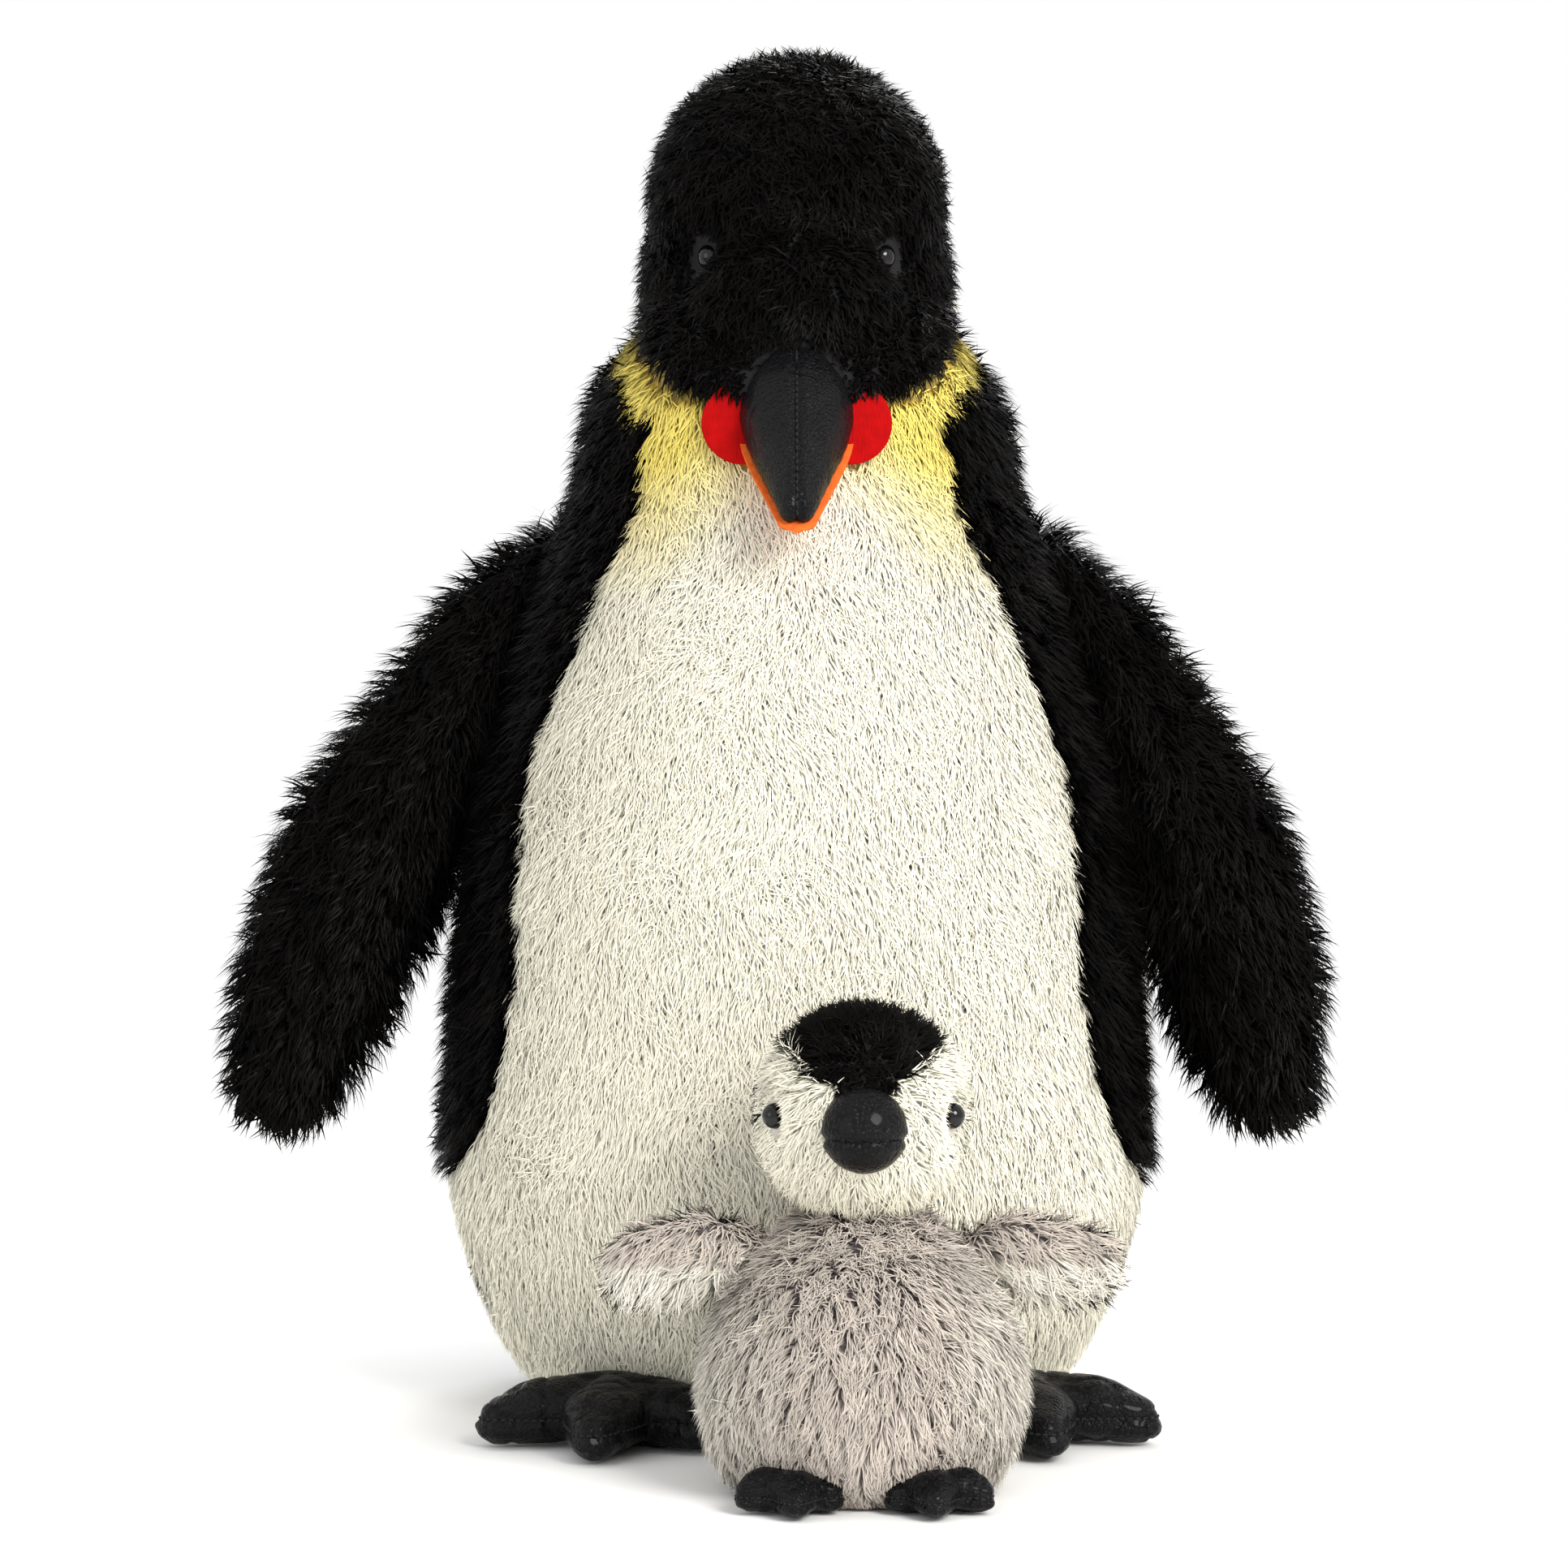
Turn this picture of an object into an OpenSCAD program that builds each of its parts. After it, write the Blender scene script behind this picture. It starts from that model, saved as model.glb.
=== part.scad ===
// Plush penguin standing behind its chick: sewn plush panels over stuffing, leatherette beaks and feet.
// The adult faces -Y and stands on z = 0. The origin is the middle of the flat base panel.

/* [Adult body] */
// Radius of the flat base panel
base_r = 86; // [80:1:90]
// Largest radius of the body, at the hips
hip_r = 155; // [150:1:158]
// Height of the hips above the floor
hip_z = 112; // [108:1:116]
// Height of the neck ball's centre, which the head tilts about
neck_z = 419; // [417:1:421]
// Radius of the neck ball that the head sits on
neck_r = 93.5; // [92:0.5:94.5]
// Thickness of a plush panel, from the stuffing to the middle of the pile
plush_t = 5; // [4:0.5:6]
// Height where the white belly panel starts to wrap round the hips
wrap_z = 108; // [104:1:112]
// How far behind the middle the belly panel wraps
wrap_y = 34; // [20:1:45]
// Height where the yellow collar meets the white belly
collar_z = 412; // [408:1:416]
// How far behind the middle the collar reaches
collar_back = 14; // [8:1:20]

/* [Adult head] */
// Radius of the crown
crown_r = 61; // [59:1:62]
// Radius of the back and sides of the head
nape_r = 65; // [63:1:66]
// Radius of the muzzle that carries the beak
muzzle_r = 46; // [44:1:48]
// Thickness of the hood's hem over the neck
hem_t = 8.5; // [7:0.5:9]
// Direction of the eyes, in degrees from straight ahead
eye_azimuth = 44; // [40:1:48]
// Direction of the eyes, in degrees below level
eye_drop = 27; // [24:1:30]
// Radius of an eye's dome
eye_r = 6.2; // [6:0.1:7]
// Length of the beak, in front of its base
beak_l = 90; // [84:1:94]
// Angle of the beak below level
beak_drop = 39; // [36:1:42]
// Radius of a red felt cheek disc
disc_r = 18; // [16:1:19]

/* [Flippers] */
// Distance of a shoulder from the middle plane
shoulder_x = 108; // [107:1:109]
// Height of the shoulders
shoulder_z = 378; // [376:1:380]
// Radius of a flipper's sewn root
root_r = 18; // [16:1:19]
// How far out the left flipper hangs, as a share of its drop
left_hang = 0.03; // [0:0.01:0.04]
// How far out the right flipper hangs, as a share of its drop
right_hang = -0.05; // [-0.06:0.01:0.02]

/* [Feet] */
// Place of the left foot's pad, across and forwards
foot_left = [-76, -108]; // [-120:1:120]
// Place of the right foot's pad, across and forwards
foot_right = [95, -104]; // [-120:1:120]
// Thickness of the leatherette
leather_t = 1.5; // [1.2:0.1:2]

/* [Chick] */
// Place of the chick's middle across
chick_x = 26; // [20:1:28]
// Place of the chick's middle in front of the adult's
chick_y = -231; // [-235:1:-230]
// Largest radius of the chick's body
chick_r = 63; // [62:1:64]
// Radius of the chick's head
chick_head_r = 40; // [39:0.5:41]
// Height of the chick's head above the floor
chick_head_z = 153; // [152:1:154]
// Thickness of the chick's plush panels
chick_t = 3; // [2.5:0.5:3.5]
// Radius of a chick eye's dome
chick_eye_r = 5.2; // [5:0.1:5.5]
// Radius of the chick's beak
chick_beak_r = 17.5; // [17:0.5:18]

/* [Hidden] */
$fn = 96;
soft_fn = 16;            // facets round the hulled soft forms
gap = 0.6;               // clearance between pieces that move against each other
far = 1000;              // reaches past the whole toy
shaft_r = 2;             // eye shafts
washer_r = 7.5;          // locking washers
washer_t = 1.5;
felt_t = 2.5;            // felt thickness
eye_sink = 2;            // how deep an eye's flange sits in the cloth
washer_sink = 7;         // how deep the back of its washer is

crown_c = [0, -22, 539];
nape_c = [0, -6, 505];
muzzle_c = [0, -50, 488];
neck_c = [0, 0, neck_z];
beak_base = [0, -78, 450];
shoulder_y = 12;

// Height and radius of the adult's body, from the floor to the neck ball's middle
body_stations = [
    [0, base_r], [6, base_r + 17], [22, base_r + 38], [50, hip_r - 15], [hip_z - 25, hip_r - 3],
    [hip_z, hip_r], [hip_z + 45, hip_r - 3], [226, 147], [322, 125], [372, 108],
    [neck_z - 14, neck_r + 3.5], [neck_z, neck_r]
];
// Height and half width of the white belly panel, seen from the front
belly_stations = [
    [wrap_z, 152], [118, 141], [157, 125], [207, 118], [255, 116], [302, 108], [350, 88], [381, 76],
    [405, 64], [440, 58]
];

// Distance along the beak and radius there, from inside the face to the middle of the tip's ball
beak_tip_r = 9;
beak_stations = [[-20, 24], [0, 25.5], [18, 25], [40, 21], [62, 14.5], [beak_l - beak_tip_r, beak_tip_r]];

chick_base_r = 36;
chick_neck_z = 76;
chick_neck_r = 42;
chick_arm = [44, 3, 95];      // a wing's root, from the chick's middle
chick_arm_r = 9;
chick_droop = 15;             // how far a wing can sink from level
chick_head_y = -4;
chick_beak_c = [0, chick_head_y - chick_head_r + 2, chick_head_z - 3.5];
chick_mouth_z = chick_head_z - 7;
chick_stations = [
    [0, chick_base_r], [4, 46], [14, 56], [28, chick_r - 2], [45, chick_r], [66, chick_r - 4], [84, 50],
    [94, 41], [100, 32]
];

// ---- helpers ----

function catmull(a, b, c, d, t) =
    0.5 * (2 * b + (c - a) * t + (2 * a - 5 * b + 4 * c - d) * t * t + (3 * b - a - 3 * c + d) * t * t * t);

// A smooth line through the points, with n steps between each two
function smooth(p, n) = [
    for (i = [0 : len(p) - 2], k = [0 : n - 1])
        catmull(p[max(i - 1, 0)], p[i], p[i + 1], p[min(i + 2, len(p) - 1)], k / n),
    p[len(p) - 1]
];

// A turned form through [height, radius] stations, grown by g all round
module turned(stations, g) {
    line = smooth(stations, 2);
    rotate_extrude()
        polygon(concat(
            [[0, -g]],
            [for (s = line) [s[1] + g, max(s[0], -g)]],
            [[0, line[len(line) - 1][0]]]
        ));
}

// Everything on one side of x = 0: side is -1 or 1
module half_x(side) {
    translate([side > 0 ? 0 : -2 * far, -far, -far])
        cube(2 * far);
}

module above(z) {
    translate([-far, -far, z])
        cube(2 * far);
}

module below(z) {
    translate([-far, -far, z - 2 * far])
        cube(2 * far);
}

// A flat round bag
module puck(r, h) {
    rotate_extrude() {
        square([r - h / 2, h]);
        translate([r - h / 2, h / 2])
            circle(h / 2);
    }
}

module blob(centre, radii) {
    translate(centre)
        scale(radii)
            sphere(r = 1, $fn = soft_fn);
}

// ---- adult body ----

module body_form(g) {
    turned(body_stations, g);
    translate(neck_c)
        sphere(r = neck_r + g);
}

module shoulder_pockets(g) {
    for (side = [-1, 1])
        translate([side * shoulder_x, shoulder_y, shoulder_z])
            sphere(r = root_r + g);
}

module body_skin() {
    difference() {
        body_form(0);
        body_form(-plush_t);
        shoulder_pockets(gap);
    }
}

module belly_region() {
    half = smooth(belly_stations, 2);
    rotate([90, 0, 0])
        linear_extrude(far)
            polygon(concat(
                [for (s = half) [s[1], s[0]]],
                [for (i = [len(half) - 1 : -1 : 0]) [-half[i][1], half[i][0]]]
            ));
    translate([-far / 2, -far / 2, -1])
        cube([far, far / 2 + wrap_y, wrap_z + 1]);
}

// The collar narrows above the belly and flares round the cheeks
module collar_region() {
    edge = [[69, collar_z], [62, collar_z + 26], [78, collar_z + 56], [110, collar_z + 80]];
    translate([0, collar_back, 0])
        rotate([90, 0, 0])
            linear_extrude(far)
                polygon(concat(edge, [for (i = [len(edge) - 1 : -1 : 0]) [-edge[i][0], edge[i][1]]]));
}

module base_region() {
    translate([0, 0, -1])
        cylinder(r = base_r, h = plush_t + 1);
}

module base_panel() {
    color("ivory")
        intersection() {
            body_skin();
            base_region();
        }
}

module belly_panel() {
    color("ivory")
        difference() {
            intersection() {
                body_skin();
                belly_region();
            }
            collar_region();
            base_region();
        }
}

module back_panel() {
    color([0.07, 0.06, 0.07])
        difference() {
            body_skin();
            belly_region();
            collar_region();
            base_region();
        }
}

module collar_panel() {
    color([0.93, 0.82, 0.3])
        intersection() {
            body_skin();
            collar_region();
        }
}

module pellet_bag_form() {
    translate([0, 0, plush_t + 6])
        puck(78, 44);
}

module body_stuffing() {
    color("white")
        difference() {
            body_form(-plush_t);
            pellet_bag_form();
            shoulder_pockets(gap);
        }
}

module pellet_bag() {
    color("tan")
        pellet_bag_form();
}

// ---- feet ----

// One foot round its pad: toes are [direction from forwards, length], and ball_r is a toe's widest
// part, just past its middle. The leather is set back by i.
module foot_form(place, side, toes, ball_r, thick, i) {
    for (t = toes)
        hull() {
            blob([place[0], place[1], thick], [ball_r - i, ball_r - i, thick - i]);
            for (s = [[0.6, ball_r, thick - 1, thick], [1, ball_r * 0.52, thick * 0.62, thick * 0.7]])
                blob(
                    [
                        place[0] + side * s[0] * t[1] * sin(t[0]),
                        place[1] - s[0] * t[1] * cos(t[0]),
                        s[3]
                    ],
                    [s[1] - i, s[1] - i, s[2] - i]
                );
        }
}

adult_toes = [[68, 56], [8, 64], [-44, 50]];
adult_ball_r = 19;
adult_toe_t = 15;

module adult_foot(side, part) {
    place = side < 0 ? foot_left : foot_right;
    inset = part == "stuffing" ? leather_t : 0;
    difference() {
        foot_form(place, side, adult_toes, adult_ball_r, adult_toe_t, inset);
        body_form(0);
        if (part != "stuffing")
            foot_form(place, side, adult_toes, adult_ball_r, adult_toe_t, leather_t);
        if (part == "upper")
            below(adult_toe_t - 2);
        if (part == "sole")
            above(adult_toe_t - 2);
    }
}

module foot_leather(side, part) {
    color([0.1, 0.1, 0.11])
        adult_foot(side, part);
}

module foot_filling(side) {
    color("white")
        adult_foot(side, "stuffing");
}

// ---- adult head ----

// The hood's hem, which lies over the front of the neck
module hood_hem(g) {
    side = smooth([[0, 446], [30, 448], [50, 455], [60, 466], [65, 480], [62, 500]], 2);
    intersection() {
        translate(neck_c)
            sphere(r = neck_r + hem_t + g);
        rotate([90, 0, 0])
            linear_extrude(far)
                polygon(concat(side, [for (i = [len(side) - 1 : -1 : 1]) [-side[i][0], side[i][1]]]));
    }
}

module head_form(g) {
    difference() {
        union() {
            hood_hem(g);
            translate(crown_c)
                sphere(r = crown_r + g);
            translate(nape_c)
                sphere(r = nape_r + g);
            translate(muzzle_c)
                sphere(r = muzzle_r + g);
        }
        translate(neck_c)
            sphere(r = neck_r + gap - g);
    }
}

// Local +Z points out of the head through an eye's middle, with z = 0 on the crown
module at_eye(side) {
    translate(crown_c)
        rotate([0, 90 + eye_drop, side * eye_azimuth - 90])
            translate([0, 0, crown_r])
                children();
}

module eye(dome_r) {
    intersection() {
        translate([0, 0, -eye_sink + 1])
            sphere(r = dome_r);
        translate([0, 0, -eye_sink])
            cylinder(r = dome_r, h = 2 * dome_r);
    }
    translate([0, 0, -eye_sink - 10])
        cylinder(r = shaft_r, h = 10.1);
}

module eye_washer() {
    difference() {
        translate([0, 0, -washer_sink])
            cylinder(r = washer_r, h = washer_t);
        translate([0, 0, -eye_sink - 10])
            cylinder(r = shaft_r, h = 11);
    }
}

module adult_eye(side) {
    color("black")
        at_eye(side)
            eye(eye_r);
}

module adult_eye_washer(side) {
    color("white")
        at_eye(side)
            eye_washer();
}

// The room that an eye, its shaft and its washer take in the cloth and the stuffing
module eye_room(dome_r) {
    translate([0, 0, -eye_sink])
        cylinder(r = dome_r, h = 30);
    translate([0, 0, -eye_sink - 10])
        cylinder(r = shaft_r, h = 11);
    translate([0, 0, -washer_sink])
        cylinder(r = washer_r, h = washer_t);
}

module cheek_regions() {
    for (side = [-1, 1])
        translate([side * 70 - 30, -16, 430])
            cube([60, 30, 72]);
}

module head_skin() {
    difference() {
        head_form(0);
        head_form(-plush_t);
        for (side = [-1, 1])
            at_eye(side)
                eye_room(eye_r);
    }
}

module hood_panel() {
    color([0.06, 0.06, 0.07])
        difference() {
            head_skin();
            cheek_regions();
        }
}

module cheek_patch(side) {
    color([0.95, 0.9, 0.62])
        intersection() {
            head_skin();
            cheek_regions();
            half_x(side);
        }
}

module head_stuffing() {
    color("white")
        difference() {
            head_form(-plush_t);
            for (side = [-1, 1])
                at_eye(side)
                    eye_room(eye_r);
        }
}

// Local +Z runs along the beak to its tip, and local +X is across
module at_beak() {
    translate(beak_base)
        rotate([90 + beak_drop, 0, 0])
            children();
}

// A cone that ends in a round tip
module beak_form(g) {
    tip_r = beak_tip_r + g;
    tip_z = beak_l - beak_tip_r;
    at_beak()
        rotate_extrude()
            polygon(concat(
                [[0, beak_stations[0][0]]],
                [for (s = smooth(beak_stations, 2)) [s[1] + g, s[0]]],
                [for (a = [18 : 18 : 90]) [tip_r * cos(a), tip_z + tip_r * sin(a)]]
            ));
}

// The beak in front of the face and clear of the neck ball
module beak_shape(g) {
    difference() {
        beak_form(g);
        head_form(0);
        translate(neck_c)
            sphere(r = neck_r + gap);
    }
}

// Below the line of the mouth, in the beak's own axes: local +Y is up and forwards
module under_mouth(depth) {
    at_beak()
        translate([-far, -depth - 2 * far, -far])
            cube(2 * far);
}

module beak_upper(side) {
    color([0.1, 0.1, 0.11])
        difference() {
            beak_shape(0);
            half_x(-side);
            beak_form(-leather_t);
            under_mouth(4);
        }
}

module beak_lower() {
    color([0.94, 0.42, 0.12])
        difference() {
            intersection() {
                beak_shape(0);
                under_mouth(4);
            }
            under_mouth(4 + felt_t);
        }
}

module beak_stuffing() {
    color("white")
        difference() {
            beak_shape(-leather_t);
            under_mouth(4);
        }
}

// A disc that lies just off the neck ball, so that it clears it while the head tilts
module cheek_disc(side) {
    color([0.8, 0.05, 0.07])
        difference() {
            translate(neck_c)
                rotate([0, 78.5, side * 13.5 - 90])
                    translate([0, 0, neck_r + 1.6])
                        cylinder(r = disc_r, h = felt_t);
            beak_form(0);
            head_form(0);
        }
}

// ---- flippers ----

// Places and radii of a flipper's stations, from the shoulder to the tip: [x, z, across, through]
flipper_stations = [
    [140, 345, 24, 14], [192, 250, 38, 17], [212, 190, 36, 15], [225, 148, 26, 10]
];

module flipper_form(side, i) {
    hang = side < 0 ? left_hang : right_hang;
    difference() {
        hull() {
            blob([side * shoulder_x, shoulder_y, shoulder_z], (root_r - i) * [1, 1, 1]);
            for (s = flipper_stations)
                blob(
                    [side * (s[0] + hang * (shoulder_z - s[1])), shoulder_y, s[1]],
                    [s[2] - i, s[3] - i, s[2] - i]
                );
        }
        body_form(gap + i);
    }
    translate([side * shoulder_x, shoulder_y, shoulder_z])
        sphere(r = root_r - i);
}

module flipper_panel(side, front) {
    color([0.06, 0.06, 0.07])
        difference() {
            flipper_form(side, 0);
            flipper_form(side, 4);
            translate([-far, front ? shoulder_y : shoulder_y - 2 * far, -far])
                cube(2 * far);
        }
}

module flipper_stuffing(side) {
    color("white")
        flipper_form(side, 4);
}

// ---- chick ----

module at_chick() {
    translate([chick_x, chick_y, 0])
        children();
}

module chick_body_form(g) {
    turned(chick_stations, g);
    translate([0, 0, chick_neck_z])
        sphere(r = chick_neck_r + g);
}

module chick_arm_pockets(g) {
    for (side = [-1, 1])
        translate([side * chick_arm[0], chick_arm[1], chick_arm[2]])
            sphere(r = chick_arm_r + g);
}

module chick_skin() {
    difference() {
        chick_body_form(0);
        chick_body_form(-chick_t);
        chick_arm_pockets(gap);
    }
}

module chick_base_region() {
    translate([0, 0, -1])
        cylinder(r = chick_base_r, h = chick_t + 1);
}

module chick_body_side(side) {
    color([0.64, 0.6, 0.6])
        at_chick()
            difference() {
                chick_skin();
                chick_base_region();
                half_x(-side);
            }
}

module chick_base_panel() {
    color([0.64, 0.6, 0.6])
        at_chick()
            intersection() {
                chick_skin();
                chick_base_region();
            }
}

module chick_bag_form() {
    translate([0, 0, chick_t + 4])
        puck(34, 24);
}

module chick_stuffing() {
    color("white")
        at_chick()
            difference() {
                chick_body_form(-chick_t);
                chick_bag_form();
                chick_arm_pockets(gap);
            }
}

module chick_pellet_bag() {
    color("tan")
        at_chick()
            chick_bag_form();
}

chick_toes = [[56, 23], [0, 27], [-50, 19]];
chick_ball_r = 11;
chick_toe_t = 9.5;

module chick_foot(side, part) {
    place = [side * 27, -40];
    inset = part == "stuffing" ? leather_t : 0;
    at_chick()
        difference() {
            foot_form(place, side, chick_toes, chick_ball_r, chick_toe_t, inset);
            chick_body_form(0);
            if (part != "stuffing")
                foot_form(place, side, chick_toes, chick_ball_r, chick_toe_t, leather_t);
            if (part == "upper")
                below(chick_toe_t - 2);
            if (part == "sole")
                above(chick_toe_t - 2);
        }
}

module chick_foot_leather(side, part) {
    color([0.1, 0.1, 0.11])
        chick_foot(side, part);
}

module chick_foot_filling(side) {
    color("white")
        chick_foot(side, "stuffing");
}

module chick_head_form(g) {
    difference() {
        translate([0, chick_head_y, chick_head_z])
            sphere(r = chick_head_r + g);
        translate([0, 0, chick_neck_z])
            sphere(r = chick_neck_r + gap - g);
    }
}

module at_chick_eye(side) {
    translate([0, chick_head_y, chick_head_z])
        rotate([0, 90, side * 64 - 90])
            translate([0, 0, chick_head_r])
                children();
}

module chick_eye(side) {
    color("black")
        at_chick()
            at_chick_eye(side)
                eye(chick_eye_r);
}

module chick_eye_washer(side) {
    color("white")
        at_chick()
            at_chick_eye(side)
                eye_washer();
}

module chick_head_skin() {
    difference() {
        chick_head_form(0);
        chick_head_form(-chick_t);
        for (side = [-1, 1])
            at_chick_eye(side)
                eye_room(chick_eye_r);
    }
}

// The black cap: a widow's peak down to the beak in front, and the whole back of the head
module chick_cap_region() {
    peak = [[7, 162], [14, 168], [33, 184], [33, 200]];
    rotate([90, 0, 0])
        translate([0, 0, -chick_head_y])
            linear_extrude(far)
                polygon(concat(peak, [for (i = [len(peak) - 1 : -1 : 0]) [-peak[i][0], peak[i][1]]]));
    translate([-far, chick_head_y, 128])
        cube(2 * far);
}

module chick_cap() {
    color([0.07, 0.06, 0.07])
        at_chick()
            intersection() {
                chick_head_skin();
                chick_cap_region();
            }
}

module chick_face(side) {
    color("ivory")
        at_chick()
            difference() {
                chick_head_skin();
                chick_cap_region();
                half_x(-side);
            }
}

module chick_head_stuffing() {
    color("white")
        at_chick()
            difference() {
                chick_head_form(-chick_t);
                for (side = [-1, 1])
                    at_chick_eye(side)
                        eye_room(chick_eye_r);
            }
}

module chick_beak_form(i) {
    difference() {
        translate(chick_beak_c)
            rotate([90, 0, 0])
                sphere(r = chick_beak_r - i);
        chick_head_form(0);
    }
}

module chick_beak_part(upper) {
    color([0.1, 0.1, 0.11])
        at_chick()
            difference() {
                chick_beak_form(0);
                chick_beak_form(leather_t);
                if (upper)
                    below(chick_mouth_z);
                else
                    above(chick_mouth_z);
            }
}

module chick_beak_stuffing() {
    color("white")
        at_chick()
            chick_beak_form(leather_t);
}

// Places and radii of a chick wing's stations: [x, z, across, through, high]
chick_wing_stations = [[62, 94, 16, 8, 18], [88, 91, 15, 7, 16]];

module chick_wing_form(side, i) {
    difference() {
        hull() {
            blob([side * chick_arm[0], chick_arm[1], chick_arm[2]], (chick_arm_r - i) * [1, 1, 1]);
            for (s = chick_wing_stations)
                blob([side * s[0], chick_arm[1], s[1]], [s[2] - i, s[3] - i, s[4] - i]);
        }
        for (turn = [0, chick_droop])
            translate([side * chick_arm[0], 0, chick_arm[2]])
                rotate([0, -side * turn, 0])
                    translate([-side * chick_arm[0], 0, -chick_arm[2]])
                        chick_body_form(gap + i);
    }
    translate([side * chick_arm[0], chick_arm[1], chick_arm[2]])
        sphere(r = chick_arm_r - i);
}

// The space on one side of the slope where a wing's grey top meets its cream underside
module chick_wing_region(under) {
    translate([0, 0, chick_arm[2]])
        rotate([-28, 0, 0])
            translate([-far, -far, under ? -2 * far : 0])
                cube(2 * far);
}

module chick_wing_panel(side, top) {
    color(top ? [0.64, 0.6, 0.6] : [0.93, 0.91, 0.86])
        at_chick()
            difference() {
                chick_wing_form(side, 0);
                chick_wing_form(side, chick_t);
                chick_wing_region(top);
            }
}

module chick_wing_stuffing(side) {
    color("white")
        at_chick()
            chick_wing_form(side, chick_t);
}

// ---- nodes ----

base_panel();
belly_panel();
back_panel();
collar_panel();
body_stuffing();
pellet_bag();
foot_leather(-1, "upper");  // foot_left_upper
foot_leather(-1, "sole");  // foot_left_sole
foot_filling(-1);  // foot_left_stuffing
foot_leather(1, "upper");  // foot_right_upper
foot_leather(1, "sole");  // foot_right_sole
foot_filling(1);  // foot_right_stuffing
hood_panel();
cheek_patch(-1);  // cheek_patch_left
cheek_patch(1);  // cheek_patch_right
head_stuffing();
beak_upper(-1);  // beak_upper_left
beak_upper(1);  // beak_upper_right
beak_lower();
beak_stuffing();
cheek_disc(-1);  // cheek_disc_left
cheek_disc(1);  // cheek_disc_right
adult_eye(-1);  // eye_left
adult_eye(1);  // eye_right
adult_eye_washer(-1);  // eye_washer_left
adult_eye_washer(1);  // eye_washer_right
flipper_panel(-1, true);  // flipper_left_front
flipper_panel(-1, false);  // flipper_left_back
flipper_stuffing(-1);  // flipper_left_stuffing
flipper_panel(1, true);  // flipper_right_front
flipper_panel(1, false);  // flipper_right_back
flipper_stuffing(1);  // flipper_right_stuffing
chick_body_side(-1);  // chick_body_left
chick_body_side(1);  // chick_body_right
chick_base_panel();
chick_stuffing();
chick_pellet_bag();
chick_foot_leather(-1, "upper");  // chick_foot_left_upper
chick_foot_leather(-1, "sole");  // chick_foot_left_sole
chick_foot_filling(-1);  // chick_foot_left_stuffing
chick_foot_leather(1, "upper");  // chick_foot_right_upper
chick_foot_leather(1, "sole");  // chick_foot_right_sole
chick_foot_filling(1);  // chick_foot_right_stuffing
chick_cap();
chick_face(-1);  // chick_face_left
chick_face(1);  // chick_face_right
chick_head_stuffing();
chick_beak_part(true);  // chick_beak_upper
chick_beak_part(false);  // chick_beak_lower
chick_beak_stuffing();
chick_eye(-1);  // chick_eye_left
chick_eye(1);  // chick_eye_right
chick_eye_washer(-1);  // chick_eye_washer_left
chick_eye_washer(1);  // chick_eye_washer_right
chick_wing_panel(-1, true);  // chick_wing_left_top
chick_wing_panel(-1, false);  // chick_wing_left_under
chick_wing_stuffing(-1);  // chick_wing_left_stuffing
chick_wing_panel(1, true);  // chick_wing_right_top
chick_wing_panel(1, false);  // chick_wing_right_under
chick_wing_stuffing(1);  // chick_wing_right_stuffing
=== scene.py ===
# %% [markdown]
# # A plush penguin and its chick
# A large stuffed penguin stands behind a small stuffed chick. Both are bags of cloth, filled with
# polyester fibre and covered with long plush pile, and both have leatherette feet and beaks. The CAD
# frame gives every size and place. This lesson dresses it: stuffed bags from cloth simulation, pile
# from Geometry Nodes, leather and felt from meshes built in code and shader node groups.

# %% Load the frame
import math

import bmesh
import bpy
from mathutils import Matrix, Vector, noise
from mathutils.bvhtree import BVHTree


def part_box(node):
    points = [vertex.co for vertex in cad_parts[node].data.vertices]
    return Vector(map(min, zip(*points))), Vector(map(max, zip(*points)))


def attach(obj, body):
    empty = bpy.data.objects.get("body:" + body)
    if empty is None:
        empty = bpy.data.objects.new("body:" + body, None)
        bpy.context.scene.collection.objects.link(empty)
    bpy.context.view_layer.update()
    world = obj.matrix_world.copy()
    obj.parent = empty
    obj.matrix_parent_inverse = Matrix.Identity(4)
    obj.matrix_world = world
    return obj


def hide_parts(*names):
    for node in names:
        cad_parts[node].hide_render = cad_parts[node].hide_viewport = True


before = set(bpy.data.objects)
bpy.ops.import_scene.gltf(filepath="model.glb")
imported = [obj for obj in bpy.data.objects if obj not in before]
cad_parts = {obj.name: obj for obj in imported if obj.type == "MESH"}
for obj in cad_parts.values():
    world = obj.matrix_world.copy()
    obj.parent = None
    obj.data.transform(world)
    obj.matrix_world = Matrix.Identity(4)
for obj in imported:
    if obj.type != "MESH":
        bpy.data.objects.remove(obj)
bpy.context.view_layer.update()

# %% [markdown]
# The camera is on a tripod two metres in front of the toy, a little above its middle, with a long
# lens. A long lens keeps the chick in front from looking too big beside the adult behind it.

# %% Camera
camera = bpy.data.objects.new("camera", bpy.data.cameras.new("camera"))
bpy.context.scene.collection.objects.link(camera)
TILT_DOWN = math.radians(1.16)
camera.location = (-0.0055, -2.0, 0.32)
camera.rotation_euler = (math.pi / 2 - TILT_DOWN, 0, 0)
camera.data.lens = 101.4
camera.data.sensor_width = 36
bpy.context.scene.camera = camera
print("camera at", tuple(camera.location))

# %% [markdown]
# Every material is a node tree, and several share an effect. Each effect is built once as a node
# group. These helpers keep that short: one makes a group with named sockets, one adds a node and
# sets its inputs, and one starts a material.

# %% Node helpers
SOCKETS = {"value": "NodeSocketFloat", "colour": "NodeSocketColor", "vector": "NodeSocketVector"}


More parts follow.
